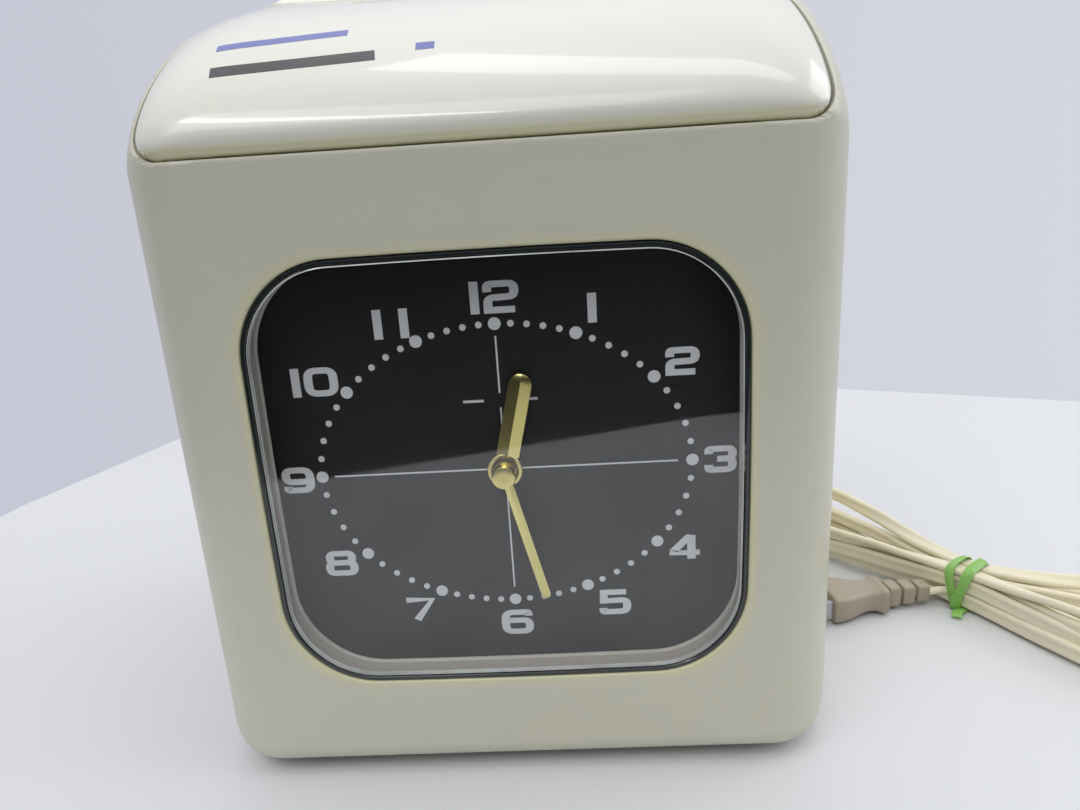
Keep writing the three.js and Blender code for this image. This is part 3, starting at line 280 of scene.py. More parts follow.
BOARD = finish("solder_mask", (0.02, 0.10, 0.035), 0.35, vary=0.3, patch=260.0, coat=0.3)
NYLON = finish("white_nylon", (0.72, 0.71, 0.66), 0.4, subsurface=0.1)
KEYS = finish("blue_keys", (0.10, 0.13, 0.27), 0.4, vary=0.12)
CLOTH = finish("inked_cloth", (0.014, 0.010, 0.022), 0.85, vary=0.4, grain=2200.0, bump=0.5, depth=0.1)
LEAD = finish("lead_vinyl", (0.84, 0.775, 0.55), 0.34, patch=22.0, tint=(0.76, 0.71, 0.56), bump=0.1,
              subsurface=0.08)
PLUG = finish("plug_vinyl", (0.37, 0.32, 0.245), 0.38, tint=(0.41, 0.35, 0.265), subsurface=0.06)
TIE = finish("tie_green", (0.19, 0.45, 0.07), 0.35, grain=700.0, bump=0.4, depth=0.2,
             tint=(0.33, 0.60, 0.18), subsurface=0.15)
SCREW = finish("screw_steel", (0.42, 0.42, 0.41), 0.33, 1.0, vary=0.2, grain=600.0)
BAR_BLUE = finish("mark_lavender", (0.17, 0.20, 0.52), 0.4, vary=0.12, grain=2500.0)
BAR_GREY = finish("mark_grey", (0.055, 0.056, 0.06), 0.4, vary=0.12, grain=2500.0)


# -------- mesh tools (millimetres)


def linked(name, data):
    """A new object in the scene."""
    obj = bpy.data.objects.new(name, data)
    bpy.context.scene.collection.objects.link(obj)
    return obj


def mesh_object(name, points, faces, material=None, crease=32.0):
    mesh = bpy.data.meshes.new(name)
    mesh.from_pydata([tuple(c * MM for c in p) for p in points], [], faces)
    shaped = bmesh.new()
    shaped.from_mesh(mesh)
    bmesh.ops.remove_doubles(shaped, verts=shaped.verts, dist=1e-7)
    bmesh.ops.recalc_face_normals(shaped, faces=shaped.faces)
    if shaped.calc_volume(signed=True) < 0:
        bmesh.ops.reverse_faces(shaped, faces=shaped.faces)
    shaped.to_mesh(mesh)
    shaped.free()
    if material:
        mesh.materials.append(material)
    return smoothed(linked(name, mesh), crease)


def smoothed(obj, crease):
    obj.data.shade_smooth()
    obj.data.set_sharp_from_angle(angle=math.radians(crease))
    return obj


def settle(obj):
    """Apply the object's modifiers."""
    graph = bpy.context.evaluated_depsgraph_get()
    made = bpy.data.meshes.new_from_object(obj.evaluated_get(graph))
    obj.modifiers.clear()
    obj.data = made


def painted(obj, material):
    """The object, with one material in place of all it had."""
    obj.data.materials.clear()
    obj.data.materials.append(material)
    return obj


def carved(obj, *tools, operation="DIFFERENCE", crease=32.0):
    for tool in tools:
        modifier = obj.modifiers.new("cut", "BOOLEAN")
        modifier.operation = operation
        modifier.solver = "EXACT"
        modifier.object = tool
    settle(obj)
    for tool in tools:
        bpy.data.objects.remove(tool)
    return smoothed(obj, crease)


def eased_edges(obj, width, segments=2, angle=32.0):
    modifier = obj.modifiers.new("edges", "BEVEL")
    modifier.width = width * MM
    modifier.segments = segments
    modifier.limit_method = "ANGLE"
    modifier.angle_limit = math.radians(angle)
    return obj


def weighted(obj):
    modifier = obj.modifiers.new("normals", "WEIGHTED_NORMAL")
    modifier.keep_sharp = True
    modifier.weight = 100


def loft(name, rings, material=None, closed=False, crease=32.0):
    count = len(rings[0])
    points = [p for ring in rings for p in ring]
    faces = []
    for s in range(len(rings) if closed else len(rings) - 1):
        a, b = s * count, (s + 1) % len(rings) * count
        for i in range(count):
            j = (i + 1) % count
            faces.append((a + i, a + j, b + j, b + i))
    if not closed:
        faces.append(tuple(range(count)))
        faces.append(tuple(range(len(points) - count, len(points))))
    return mesh_object(name, points, faces, material, crease)


def placed(axis, a, b, along):
    return {"X": (along, a, b), "Y": (a, along, b), "Z": (a, b, along)}[axis]


def prism(name, axis, outline, low, high, material=None):
    return loft(name, [[placed(axis, a, b, along) for a, b in outline] for along in (low, high)], material)


def turned(name, axis, centre, profile, material=None, sides=40):
    """A lathe piece from [radius, along] pairs, capped where the profile starts and ends."""
    turns = [2 * math.pi * i / sides for i in range(sides)]
    rings = []
    for radius, along in profile:
        circle = [(centre[0] + radius * math.cos(t), centre[1] + radius * math.sin(t)) for t in turns]
        rings.append([placed(axis, a, b, along) for a, b in circle])
    return loft(name, rings, material)


def between(start, end, share):
    """The point that is a share of the way from start to end."""
    return [a + (b - a) * share for a, b in zip(start, end)]


def arc(ca, cb, radius, start, end, steps):
    turn = [math.radians(start + (end - start) * i / steps) for i in range(steps + 1)]
    return [(ca + radius * math.cos(t), cb + radius * math.sin(t)) for t in turn]


def rounded_rect(a0, a1, b0, b1, radius, steps=12):
    return [
        *arc(a1 - radius, b0 + radius, radius, -90, 0, steps),
        *arc(a1 - radius, b1 - radius, radius, 0, 90, steps),
        *arc(a0 + radius, b1 - radius, radius, 90, 180, steps),
        *arc(a0 + radius, b0 + radius, radius, 180, 270, steps),
    ]


def box_tool(x, y, z):
    return prism("tool", "X", [(y[0], z[0]), (y[1], z[0]), (y[1], z[1]), (y[0], z[1])], *x)


def rod_tool(axis, radius, low, high, centre, sides=40):
    return turned("tool", axis, centre, [(radius, low), (radius, high)], sides=sides)


def merged(name, pieces, material=None):
    """One object from several, with the material given or else the first piece's."""
    made = bmesh.new()
    for piece in pieces:
        made.from_mesh(piece.data)
    mesh = bpy.data.meshes.new(name)
    made.to_mesh(mesh)
    made.free()
    mesh.materials.append(material or pieces[0].data.materials[0])
    for piece in pieces:
        bpy.data.objects.remove(piece)
    return linked(name, mesh)


# -------- the outer form


def bezier(points, t):
    weights = ((1 - t) ** 3, 3 * t * (1 - t) ** 2, 3 * t * t * (1 - t), t**3)
    return tuple(sum(w * p[k] for w, p in zip(weights, points)) for k in (0, 1))


def bezier_slope(points, t):
    steps = [(b[0] - a[0], b[1] - a[1]) for a, b in zip(points, points[1:])]
    weights = ((1 - t) ** 2, 2 * t * (1 - t), t * t)
    dy, dz = (sum(w * s[k] for w, s in zip(weights, steps)) for k in (0, 1))
    size = math.hypot(dy, dz)
    return dy / size, dz / size


CROWN = ((FRONT_Y, LIP_TOP), (FRONT_Y, 163.5), (-25.0, 196.5), (REAR_Y, REAR_TOP))


def fall_at(x):
    """How far the crown falls towards both sides."""
    share = min(1, max(0, (abs(x) - FALL_START) / (HALF_WIDTH - FALL_START)))
    return FALL * (1 - math.sqrt(1 - share**2))


def crown_row(t):
    (y, z), (dy, dz) = bezier(CROWN, t), bezier_slope(CROWN, t)
    return y, z, -dz, dy


def side_profile():
    """The side view as (y, z, normal y, normal z), close together round the seam."""
    rows = [(REAR_Y, CASE_BOTTOM, 1, -1), (REAR_Y, REAR_TOP, 1, 1)]
    turns = [0.0]
    while turns[-1] < 0.92:
        turns.append(turns[-1] + (0.0095 if turns[-1] < 0.15 else 0.021))
    rows += [crown_row(t) for t in reversed(turns)]
    rows += [(FRONT_Y, LIP_TOP - 0.4 * i, -1, 0) for i in range(1, 20)]
    for y, z in arc(FRONT_Y + TOE, CASE_BOTTOM + TOE, TOE, 180, 270, 12):
        rows.append((y, z, (y - FRONT_Y - TOE) / TOE, (z - CASE_BOTTOM - TOE) / TOE))
    return rows


def eased(value, edge, zone, amount):
    return value + amount * max(0.0, 1 - abs(value - edge) / zone)


def form_point(row, x, inset):
    """A point of the form, `inset` inside the skin, on the section that leaves the skin at x."""
    y, z, ny, nz = row
    turn = max(0.0, (abs(x) - HALF_WIDTH + CORNER) / CORNER)
    draw = 1 - math.sqrt(max(0.0, 1 - turn**2))
    y = eased(y - ny * inset, FRONT_Y + inset, 40, (CORNER - inset) * draw)
    y = eased(y, REAR_Y - inset, 20, (inset - REAR_CORNER) * draw)
    fall = fall_at(abs(x) - inset * turn + 0.8 * inset) * min(1, max(0, (z - 130) / (LIP_TOP - 130)))
    z = eased(z - nz * inset, CASE_BOTTOM + inset, 20, (SHOULDER - inset) * draw) - fall
    return x - math.copysign(inset * turn, x), y, z


def mouth_distance(x, z, half, low, radius):
    """How far a point of the front view is outside the mouth's outline."""
    across, down = abs(x) - (half - radius), low + radius - z
    outside = math.hypot(max(across, 0), max(down, 0))
    return outside + min(max(across, down), 0) - radius


def rolled(distance, radius):
    """How deep an edge's roll is at a distance from the edge."""
    left = radius - min(max(distance, 0), radius)
    return radius - math.sqrt(max(0.0, radius**2 - left**2))


def case_form(name, inset, roll=None):
    """The closed form, `inset` inside the skin. `roll` gives an extra inset at a point of the skin."""
    rows = side_profile()
    shares = {math.sin(math.pi / 2 * i / 18) for i in range(19)} | {(8.2 + 0.4 * i) / CORNER for i in range(15)}
    right = [FALL_START + 2.5 * i for i in range(4)]
    right += [HALF_WIDTH - CORNER + CORNER * share for share in sorted(shares)]
    rings = []
    for x in [-x for x in reversed(right)] + right:
        ring = []
        for row in rows:
            point = form_point(row, x, inset)
            if roll:
                point = form_point(row, x, inset + roll(point[0], point[2]))
            ring.append(point)
        rings.append(ring)
    return loft(name, rings)


def mouth_tool(inset, y0, y1):
    half = MOUTH_HALF - inset
    outline = rounded_rect(-half, half, SEAM_Z + inset, HEIGHT + 20, MOUTH_RADIUS - inset, 16)
    return prism("tool", "Y", outline, y0, y1)


def window_outline(grow):
    """The window's outline, whose sides bow out by half a millimetre."""
    w, h, r = WINDOW_HALF_W + grow, WINDOW_HALF_H + grow, WINDOW_RADIUS + grow
    corners = [arc(across * (w - r), up * (h - r), r, start, start + 90, 16)
               for across, up, start in ((1, -1, -90), (1, 1, 0), (-1, 1, 90), (-1, -1, 180))]
    bowed = []
    for corner, after in zip(corners, corners[1:] + corners[:1]):
        side = [between(corner[-1], after[0], k / 8) for k in range(1, 8)]
        for a, b in corner + side:
            push_a = 0.5 * max(0, 1 - (b / (h - r * 0.3)) ** 2) * max(0, (abs(a) - (w - r)) / r)
            push_b = 0.5 * max(0, 1 - (a / (w - r * 0.3)) ** 2) * max(0, (abs(b) - (h - r)) / r)
            bowed.append((a + math.copysign(push_a, a), WINDOW_Z + b + math.copysign(push_b, b)))
    return bowed


def window_loft(name, profile, material=None, closed=True):
    """A frame from a closed [grow, y] profile, or a plate from an open one."""
    rings = [[(x, y, z) for x, z in window_outline(grow)] for grow, y in profile]
    return loft(name, rings, material, closed)


# -------- housing


def make_front_case():
    skin = case_form(
        "case_shell",
        0,
        lambda x, z: rolled(mouth_distance(x, z, MOUTH_HALF, SEAM_Z, MOUTH_RADIUS), CASE_ROLL),
    )
    skin.data.materials.append(CASE)
    lip = 0.8
    flare = [(5.2, FRONT_Y - 0.4), (5.2, FRONT_Y + 0.001), (3.0, FRONT_Y + 0.03), (lip, FRONT_Y + 0.1)]
    for turn in (math.radians(d) for d in (12, 24, 36, 48, 60, 72, 82, 90)):
        flare.append((lip - lip * math.sin(turn), FRONT_Y + 0.1 + lip - lip * math.cos(turn)))
    flare.append((0, FRONT_Y + 6))
    lock_hole = [(8.3, 70), (8.3, 77.2), (9.1, 78.02), (9.1, 84)]
    carved(
        skin,
        case_form("tool", WALL),
        window_loft("tool", flare, closed=False),
        mouth_tool(0, FRONT_Y - 5, REAR_Y + 5),
        box_tool((-70, 70), (REAR_Y - 6, REAR_Y + 5), (8, 158.2)),
        prism("tool", "Z", rounded_rect(-64, 64, -53, 57, 8), 0, CASE_BOTTOM + 5),
        turned("tool", "X", (LOCK_Y, LOCK_Z), lock_hole),
        crease=28,
    )
    weighted(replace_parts(skin, "front_case"))


def make_top_cover():
    half, low, radius = MOUTH_HALF - COVER_EDGE, SEAM_Z + COVER_EDGE, MOUTH_RADIUS - COVER_EDGE
    skin = case_form(
        "cover_shell",
        0,
        lambda x, z: rolled(-mouth_distance(x, z, half, low, radius), COVER_ROLL),
    )
    skin.data.materials.append(COVER)
    carved(skin, mouth_tool(COVER_EDGE, FRONT_Y - 5, COVER_REAR_Y), operation="INTERSECT")
    hollow = case_form("tool", WALL)
    inner = mouth_tool(COVER_EDGE + COVER_WALL, FRONT_Y - 5, COVER_REAR_Y + 5)
    carved(hollow, inner, operation="INTERSECT")
    crown = [bezier(CROWN, i / 40) for i in range(41)]
    below = [(y, z - 10) for y, z in reversed(crown)]
    below += [(FRONT_Y + WALL, 143.5), (FRONT_Y + WALL, 100), (REAR_Y, 100)]
    carved(skin, hollow, prism("tool", "X", below, -78, 78))
    pieces = []
    for side in (-1, 1):
        start, end = sorted((side * 64.5, side * 67.5))
        profile = [(4.0, start), (4.2, start + 0.3), (4.2, end - 0.3), (4.0, end)]
        pieces.append(turned("eye", "X", (HINGE_Y, HINGE_Z), profile))
        pieces.append(box_tool((start, end), (HINGE_Y - 4.2, HINGE_Y + 3), (HINGE_Z, HINGE_Z + 4.6)))
    pieces.append(box_tool((66.3, 68.3), (-34, -24), (SEAM_Z + 0.7, 168)))
    pieces.append(box_tool((61.6, 68.3), (-34, -24), (SEAM_Z + 0.7, SEAM_Z + 2.7)))
    carved(skin, *pieces, operation="UNION")
    carved(skin, rod_tool("X", 2.3, -70, 70, (HINGE_Y, HINGE_Z), 24), crease=28)
    weighted(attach(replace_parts(skin, "top_cover"), "cover"))


def hood_side(drop):
    front, top, rear = HOOD_FRONT_Y + drop, HEIGHT - drop, REAR_Y - drop
    points = [(front, HINGE_Z - 20)]
    for curve in (((front, 200), (front + 3, top), (45, top)), ((45, top), (rear, top), (rear, 201))):
        for t in (i / 16 for i in range(17)):
            points.append(tuple((1 - t) ** 2 * a + 2 * t * (1 - t) * b + t * t * c for a, b, c in zip(*curve)))
    points.append((rear, HINGE_Z - 20))
    return points


def hood_across(drop):
    half = MOUTH_HALF - 0.4 - drop
    end = ((half, HOOD_END_Z - drop), (half - 12, 203.5 - drop), (54, HEIGHT - drop), (36, HEIGHT - drop))
    fall = [bezier(end, i / 24) for i in range(25)]
    return [(-half, 190 - drop), (half, 190 - drop), *fall, *[(-x, z) for x, z in reversed(fall)]]


def hood_body(name, drop):
    body = prism(name, "X", hood_side(drop), -MOUTH_HALF, MOUTH_HALF)
    if name != "tool":
        body.data.materials.append(COVER)
    tool = prism("tool", "Y", hood_across(drop), HOOD_FRONT_Y - 1, REAR_Y + 1)
    return carved(body, tool, operation="INTERSECT")


def make_card_hood():
    hood = hood_body("hood_shell", 0)
    carved(hood, hood_body("tool", WALL))
    throat = box_tool((-46, 46), (35.3, 44.5), (198.6, 212.4))
    carved(hood, throat, operation="UNION")
    slot = [(36.9, 190), (36.9, 211.6), (35.9, 213.02), (35.9, 220), (43.9, 220), (43.9, 213.02), (42.9, 211.6),
            (42.9, 190)]
    carved(
        hood,
        prism("tool", "X", slot, -44, 44),
        rod_tool("X", 8.5, -80, 80, (HINGE_Y, HINGE_Z), 64),
        box_tool((-80, 80), (REAR_Y - 3.1, REAR_Y + 3), (150, 195.8)),
    )
    weighted(eased_edges(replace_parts(hood, "card_hood"), 0.45, 3))


def pan_screw(name, axis, centre, seat, facing, body="case"):
    """A cross-headed screw whose head stands on `seat` and faces along the sign of `facing`."""
    profile = [(2.96, 0), (3.0, 0.25), (2.75, 0.75), (2.1, 1.08), (0.9, 1.2)]
    head = turned(name, axis, centre, [(r, seat + facing * h) for r, h in profile], SCREW, 32)
    low, high = sorted((seat + facing * 0.45, seat + facing * 3))
    bars = []
    for across, along in ((1.7, 0.36), (0.36, 1.7)):
        signs = ((-1, -1), (1, -1), (1, 1), (-1, 1))
        outline = [(centre[0] + a * across, centre[1] + b * along) for a, b in signs]
        bars.append(prism("tool", axis, outline, low, high))
    head = painted(carved(head, *bars), SCREW)
    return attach(head, body)


def make_rear_panel():
    y0, y1 = REAR_Y - WALL, REAR_Y
    lower, upper, step, top = 69.7, 71.9, 158.5, 195.5
    half = [(lower, step), (upper, step), (upper, top)]
    outline = [(-lower, 8.3), (lower, 8.3), *half, *[(-x, z) for x, z in reversed(half)]]
    panel = prism("back_panel", "Y", outline, y0, y1, CASE)
    tools = []
    for side in (-1, 1):
        keyhole = arc(side * 40, 140, 4.5, 122.2, 417.8, 28) + [(side * 40 + 2.4, 150), (side * 40 - 2.4, 150)]
        tools.append(prism("tool", "Y", keyhole, y0 - 1, y1 + 1))
        for z in (22, 180):
            tools.append(rod_tool("Y", 3.4, y1 - 1.6, y1 + 1, (side * 62, z)))
            tools.append(rod_tool("Y", SCREW_HOLE, y0 - 1, y1 + 1, (side * 62, z), 24))
    tools.append(rod_tool("Y", 4.3, y0 - 1, y1 + 1, EXIT))
    for row in range(6):
        vent = rounded_rect(-26, 26, 60 + row * 7, 62.4 + row * 7, 1.15, 5)
        tools.append(prism("tool", "Y", vent, y1 - 0.9, y1 + 1))
    carved(panel, *tools)
    eased_edges(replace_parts(panel, "rear_panel"), 0.3)
    for number, (x, z) in enumerate(((-62, 22), (62, 22), (-62, 180), (62, 180)), 1):
        pan_screw(f"rear_screw_{number}", "Y", (x, z), y1 - 1.55, 1)


def make_base():
    plate = prism("bottom_plate", "Z", rounded_rect(-67, 67, -56, 58, 12), 6.2, 8.7, CASE)
    screws = ((-50, 2), (50, 2), (-50, 50), (40, 50))
    carved(plate, *[rod_tool("Z", SCREW_HOLE, 0, 20, at, 24) for at in screws])
    eased_edges(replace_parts(plate, "base_plate"), 0.3)
    for number, at in enumerate(screws, 1):
        pan_screw(f"base_screw_{number}", "Z", at, 6.15, -1)
    feet = {"front_left": (-56, -46), "front_right": (56, -46), "rear_left": (-56, 49), "rear_right": (56, 49)}
    profile = [(0.6, 0.35), (3.4, 0.3), (3.9, 0), (4.9, 0), (5.3, 0.12), (5.75, 0.6), (6, 1.4), (6, 5.3),
               (5.8, 5.9)]
    for corner, at in feet.items():
        pad = turned(f"pad_{corner}", "Z", at, profile, RUBBER)
        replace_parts(pad, f"foot_{corner}")


# -------- window, dial and hands


def make_window():
    gasket = [(-0.3, -61.0), (-0.42, -61.22), (-0.72, -61.3), (-1.05, -61.25), (-1.2, -61.05), (-1.2, -59.8),
              (-0.3, -59.8)]
    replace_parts(window_loft("window_seal", gasket, GASKET), "window_gasket")
    sheet = [(-1.75, -61.3), (-1.5, -61.12), (-1.5, -59.9), (-1.65, -59.8)]
    pane = window_loft("clear_sheet", sheet, LENS, closed=False)
    # The edge faces get the light grey painted highlight in place of clear acrylic.
    pane.data.materials.append(LENS_EDGE_HIGHLIGHT)
    for face in pane.data.polygons:
        face.material_index = int(abs(face.normal.y) < 0.95)
    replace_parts(pane, "window_lens")
    tube = [(-0.4, -59.5), (-0.9, -59.5), (-1.05, -59.3), (-1.0, -59.0), (-0.3, -54.0), (-0.6, -53.75),
            (-0.75, -53.4), (-0.6, -53.0), (1.2, -53.0), (1.2, -57.1), (3.7, -57.1), (4, -57.4), (4, -58.5),
            (3.8, -58.7), (-0.4, -58.7)]
    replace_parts(window_loft("window_wall", tube, BEZEL), "window_bezel")


def bar(points, half_across, half_up, closed=False, rise=PRINT_RISE):
    """A flat stroke along points of the dial: upright strokes are half_across to each side."""
    count = len(points)
    front = DIAL_Y - rise
    rings = []
    for i, (x, z) in enumerate(points):
        before = points[(i - 1) % count] if closed or i else points[0]
        after = points[(i + 1) % count] if closed or i < count - 1 else points[-1]
        normals = []
        for (ax, az), (bx, bz) in ((before, points[i]), (points[i], after)):
            size = math.hypot(bx - ax, bz - az)
            if size > 1e-6:
                normals.append((-(bz - az) / size, (bx - ax) / size))
        nx, nz = (sum(n[k] for n in normals) / len(normals) for k in (0, 1))
        grow = 1 / max(0.5, nx * nx + nz * nz)
        ox, oz = nx * grow * half_across, nz * grow * half_up
        rings.append([(x + ox, DIAL_Y, z + oz), (x + ox, front, z + oz),
                      (x - ox, front, z - oz), (x - ox, DIAL_Y, z - oz)])
    return loft("stroke", rings, PRINT, closed)


def filleted(points, radius, closed):
    """A polyline with its corners rounded; a point with a third value has its own radius."""
    made = []
    count = len(points)
    for i, point in enumerate(points):
        own = point[2] if len(point) > 2 else radius
        at = Vector(point[:2])
        if (not closed and i in (0, count - 1)) or own <= 0:
            made.append(tuple(at))
            continue
        before, after = (Vector(points[k % count][:2]) - at for k in (i - 1, i + 1))
        reach = min(own, before.length * 0.49, after.length * 0.49)
        p, q = at + before.normalized() * reach, at + after.normalized() * reach
        for t in (k / 6 for k in range(7)):
            made.append(tuple(p * (1 - t) ** 2 + at * (2 * t * (1 - t)) + q * t * t))
    return made


# Centre lines of the figures in a unit box. A third value is a corner's radius, and 0 leaves it sharp.
FIGURES = {
    "0": [([(0, 0), (1, 0), (1, 1), (0, 1)], True)],
    "1": [([(0.5, 0), (0.5, 1)], False)],
    "2": [([(0, 0.7), (0, 1), (1, 1), (1, 0.5), (0, 0.47), (0, 0, 0), (1, 0)], False)],
    "3": [([(0, 0.76), (0, 1), (1, 1), (1, 0.52), (0.36, 0.52)], False),
          ([(0.36, 0.52), (1, 0.52), (1, 0), (0, 0), (0, 0.24)], False)],
    "4": [([(0.74, -0.1), (0.74, 1.1)], False),
          ([(0.70, 1.0), (0.60, 1, 0), (0.02, 0.32, 0), (0, 0.22, 0), (1.08, 0.22)], False)],
    "5": [([(0.97, 1), (0.04, 1, 0), (0.02, 0.56, 0), (1, 0.6), (1, 0), (0, 0), (0, 0.2)], False)],
    "6": [([(0.97, 0.8), (0.97, 1), (0, 1), (0, 0), (1, 0), (1, 0.58), (0.5, 0.58)], False),
          ([(0.6, 0.58), (0.02, 0.58)], False)],
    "7": [([(-0.08, 1), (1, 1, 0), (0.3, -0.1)], False)],
    "8": [([(0.05, 0.53), (0.95, 0.53), (0.95, 1), (0.05, 1)], True),
          ([(0, 0), (1, 0), (1, 0.53), (0, 0.53)], True)],
    "9": [([(0.03, 0.2), (0.03, 0), (1, 0), (1, 1), (0, 1), (0, 0.42), (0.5, 0.42)], False),
          ([(0.4, 0.42), (0.98, 0.42)], False)],
}
# The text, its centre from the dial's centre, and its width and height.
NUMERALS = (
    ("12", 0.2, 40.3, 11.4, 7.2),
    ("1", 21.7, 36.7, 2.5, 6.6),
    ("2", 41.7, 23.6, 7.7, 6.5),
    ("3", 50.3, -0.2, 7.5, 6.6),
    ("4", 42.0, -22.3, 7.9, 6.6),
    ("5", 24.6, -36.3, 7.9, 6.8),
    ("6", 0.1, -40.8, 8.0, 6.8),
    ("7", -23.8, -36.1, 8.0, 6.5),
    ("8", -42.2, -22.7, 8.1, 6.7),
    ("9", -49.7, -0.5, 7.8, 6.5),
    ("10", -42.6, 23.2, 11.3, 6.8),
    ("11", -23.5, 35.6, 8.5, 6.7),
)


def figure(text, x, z, width, height):
    """The strokes of a numeral. Each lies a little higher than the last, so that none share a plane."""
    half_across, half_up, thin, gap = 1.0, 0.72, 2.5, 0.9
    left, middle = x - width / 2, DIAL_Z + z
    strokes = []
    for place, sign in enumerate(text):
        plain = sign == "1"
        wide = thin if plain else width if len(text) == 1 else width - thin - gap
        if text == "11" and place == 1:
            left = x + width / 2 - thin
        centre = left + wide / 2 + (0.2 if plain else 0)
        across, up = wide - 2 * half_across, height - (0 if plain else 2 * half_up)
        for points, closed in FIGURES[sign]:
            path = [(centre + (p[0] - 0.5) * across, middle + (p[1] - 0.5) * up, *p[2:]) for p in points]
            rise = PRINT_RISE + 0.008 * len(strokes)
            strokes.append(bar(filleted(path, 1.9, closed), half_across, half_up, closed, rise))
        left += wide + gap
    return strokes


def make_dial():
    plate = [(1.5, DIAL_Y + 1), (1.5, DIAL_Y + 0.1), (1.4, DIAL_Y)]
    face = window_loft("dial_face", plate, DIAL, closed=False)
    carved(face, rod_tool("Y", 3.6, DIAL_Y - 1, DIAL_Y + 2, (0, DIAL_Z)))
    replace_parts(face, "dial_plate")
    strokes = [stroke for numeral in NUMERALS for stroke in figure(*numeral)]
    for minute in range(60):
        angle = math.radians(minute * 6)
        reach = 1 / math.hypot(math.sin(angle) / TRACK_ACROSS, math.cos(angle) / TRACK_UP)
        centre = (reach * math.sin(angle), DIAL_Z + reach * math.cos(angle))
        radius = 1.45 if minute % 5 == 0 else 0.76
        profile = [(radius, DIAL_Y), (radius - 0.02, DIAL_Y - 0.06), (radius * 0.6, DIAL_Y - 0.08)]
        strokes.append(turned("dot", "Y", centre, profile, PRINT, 24))
    lines = [(0, 31.6, 0, 18.4, 0.2), (0, 15.0, 0, -31.0, 0.2), (-40.8, 0, 40.4, 0, 0.2)]
    lines += [(x - 2.4, 16.7, x + 2.4, 16.7, 0.3) for x in (-6.2, 6.2)]
    for x0, z0, x1, z1, half in lines:
        strokes.append(bar([(x0, DIAL_Z + z0), (x1, DIAL_Z + z1)], half, half, rise=LINE_RISE))
    merged("dial_printing", strokes)


def hand_blade(name, angle, start, length, half, low, edge, ridge):
    """A hand's blade: two facets fall from a ridge on its middle line to its edges."""
    rings = []
    turn = math.radians(angle)
    out, side = Vector((math.sin(turn), math.cos(turn))), Vector((math.cos(turn), -math.sin(turn)))
    stops = [start + (length - half - start) * i / 6 for i in range(7)]
    stops += [length - half + half * math.sin(math.radians(d)) for d in (15, 30, 45, 58, 70, 80, 87)]
    for stop in stops:
        share = math.sqrt(max(0.0, 1 - max(0.0, (stop - (length - half)) / half) ** 2))
        top = edge + (ridge - edge) * min(1, share * 1.15)
        inner = edge - 0.04
        section = ((-1, low), (-1, edge), (-0.9, inner), (0, top), (0.9, inner), (1, edge), (1, low))
        ring = []
        for across, y in section:
            at = out * stop + side * (across * half * share)
            ring.append((at[0], y, DIAL_Z + at[1]))
        rings.append(ring)
    return loft(name, rings, GOLD, crease=14)


def make_hands():
    blade = hand_blade("hour_blade", 13.5, 3.6, 23.5, 2.65, -53.95, -54.2, -54.75)
    ring = [(3.1, -53.95), (3.1, -54.5), (3.25, -54.68), (3.95, -54.68), (4.15, -54.45), (4.15, -53.95)]
    turns = [2 * math.pi * i / 48 for i in range(48)]
    rings = [[(r * math.cos(t), y, DIAL_Z + r * math.sin(t)) for r, y in ring] for t in turns]
    hub = loft("hour_ring", rings, GOLD, closed=True)
    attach(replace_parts(merged("hour_pointer", [blade, hub]), "hour_hand"), "hour")
    blade = hand_blade("minute_blade", 166, -1.0, 33.5, 1.1, -55.95, -56.2, -56.55)
    cap = [(1.5, -57.2), (1.5, -55.3), (2.55, -55.3), (2.7, -55.5), (2.7, -59.05), (2.62, -59.24), (2.45, -59.35),
           (2.3, -59.37), (0.8, -59.375), (0.5, -59.37)]
    hub = turned("cap", "Y", (0, DIAL_Z), cap, CAP_GOLD, 48)
    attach(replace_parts(merged("minute_pointer", [blade, hub]), "minute_hand"), "minute")


def form_patch(name, corners, material, across=16, up=6):
    """A thin print that lies on the cover: its corners are (x, crown share) pairs, from lower left round."""
    points, faces = [], []
    for lift in (0.0, 0.035):
        for j in range(up + 1):
            for i in range(across + 1):
                u, v = i / across, j / up
                low, high = between(corners[0], corners[1], u), between(corners[3], corners[2], u)
                x, t = between(low, high, v)
                y, z, ny, nz = crown_row(t)
                points.append((x, y + ny * lift, z - fall_at(x) + nz * lift))
    layer = (across + 1) * (up + 1)
    for j in range(up):
        for i in range(across):
            a = j * (across + 1) + i
            quad = (a, a + 1, a + across + 2, a + across + 1)
            faces.append(quad)
            faces.append(tuple(layer + k for k in reversed(quad)))
    rim = [*range(across), *[across + j * (across + 1) for j in range(up)]]
    rim += [layer - 1 - i for i in range(across)] + [layer - 1 - across - j * (across + 1) for j in range(up)]
    faces += [(a, b, b + layer, a + layer) for a, b in zip(rim, rim[1:] + rim[:1])]
    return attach(mesh_object(name, points, faces, material), "cover")


def make_marks():
    form_patch("mark_upper", ((-57.2, 0.405), (-28.7, 0.435), (-29.1, 0.463), (-57.7, 0.433)), BAR_BLUE)
    form_patch("mark_lower", ((-55.5, 0.290), (-20.8, 0.315), (-21.4, 0.357), (-56.2, 0.332)), BAR_GREY)
    form_patch("mark_small", ((-12.6, 0.345), (-8.6, 0.347), (-8.8, 0.378), (-12.8, 0.376)), BAR_BLUE, 6, 4)


# -------- mains lead

TIE_AT = Vector((145.0, 9.0))
TIE_Z, LEAD_LOW = 7.2, 2.75
PLUG_AT, PLUG_TURN = Vector((132.6, 9.3, 5.0)), Matrix.Rotation(math.radians(6), 3, "Z")


def spine(u):
    """The hank's middle line seen from above: 0 at the tie, 1 near the far fold and -1 near the other."""
    return (TIE_AT[0] + 44 * u + 3 * u * u, TIE_AT[1] - 59 * u + 8 * u * u)


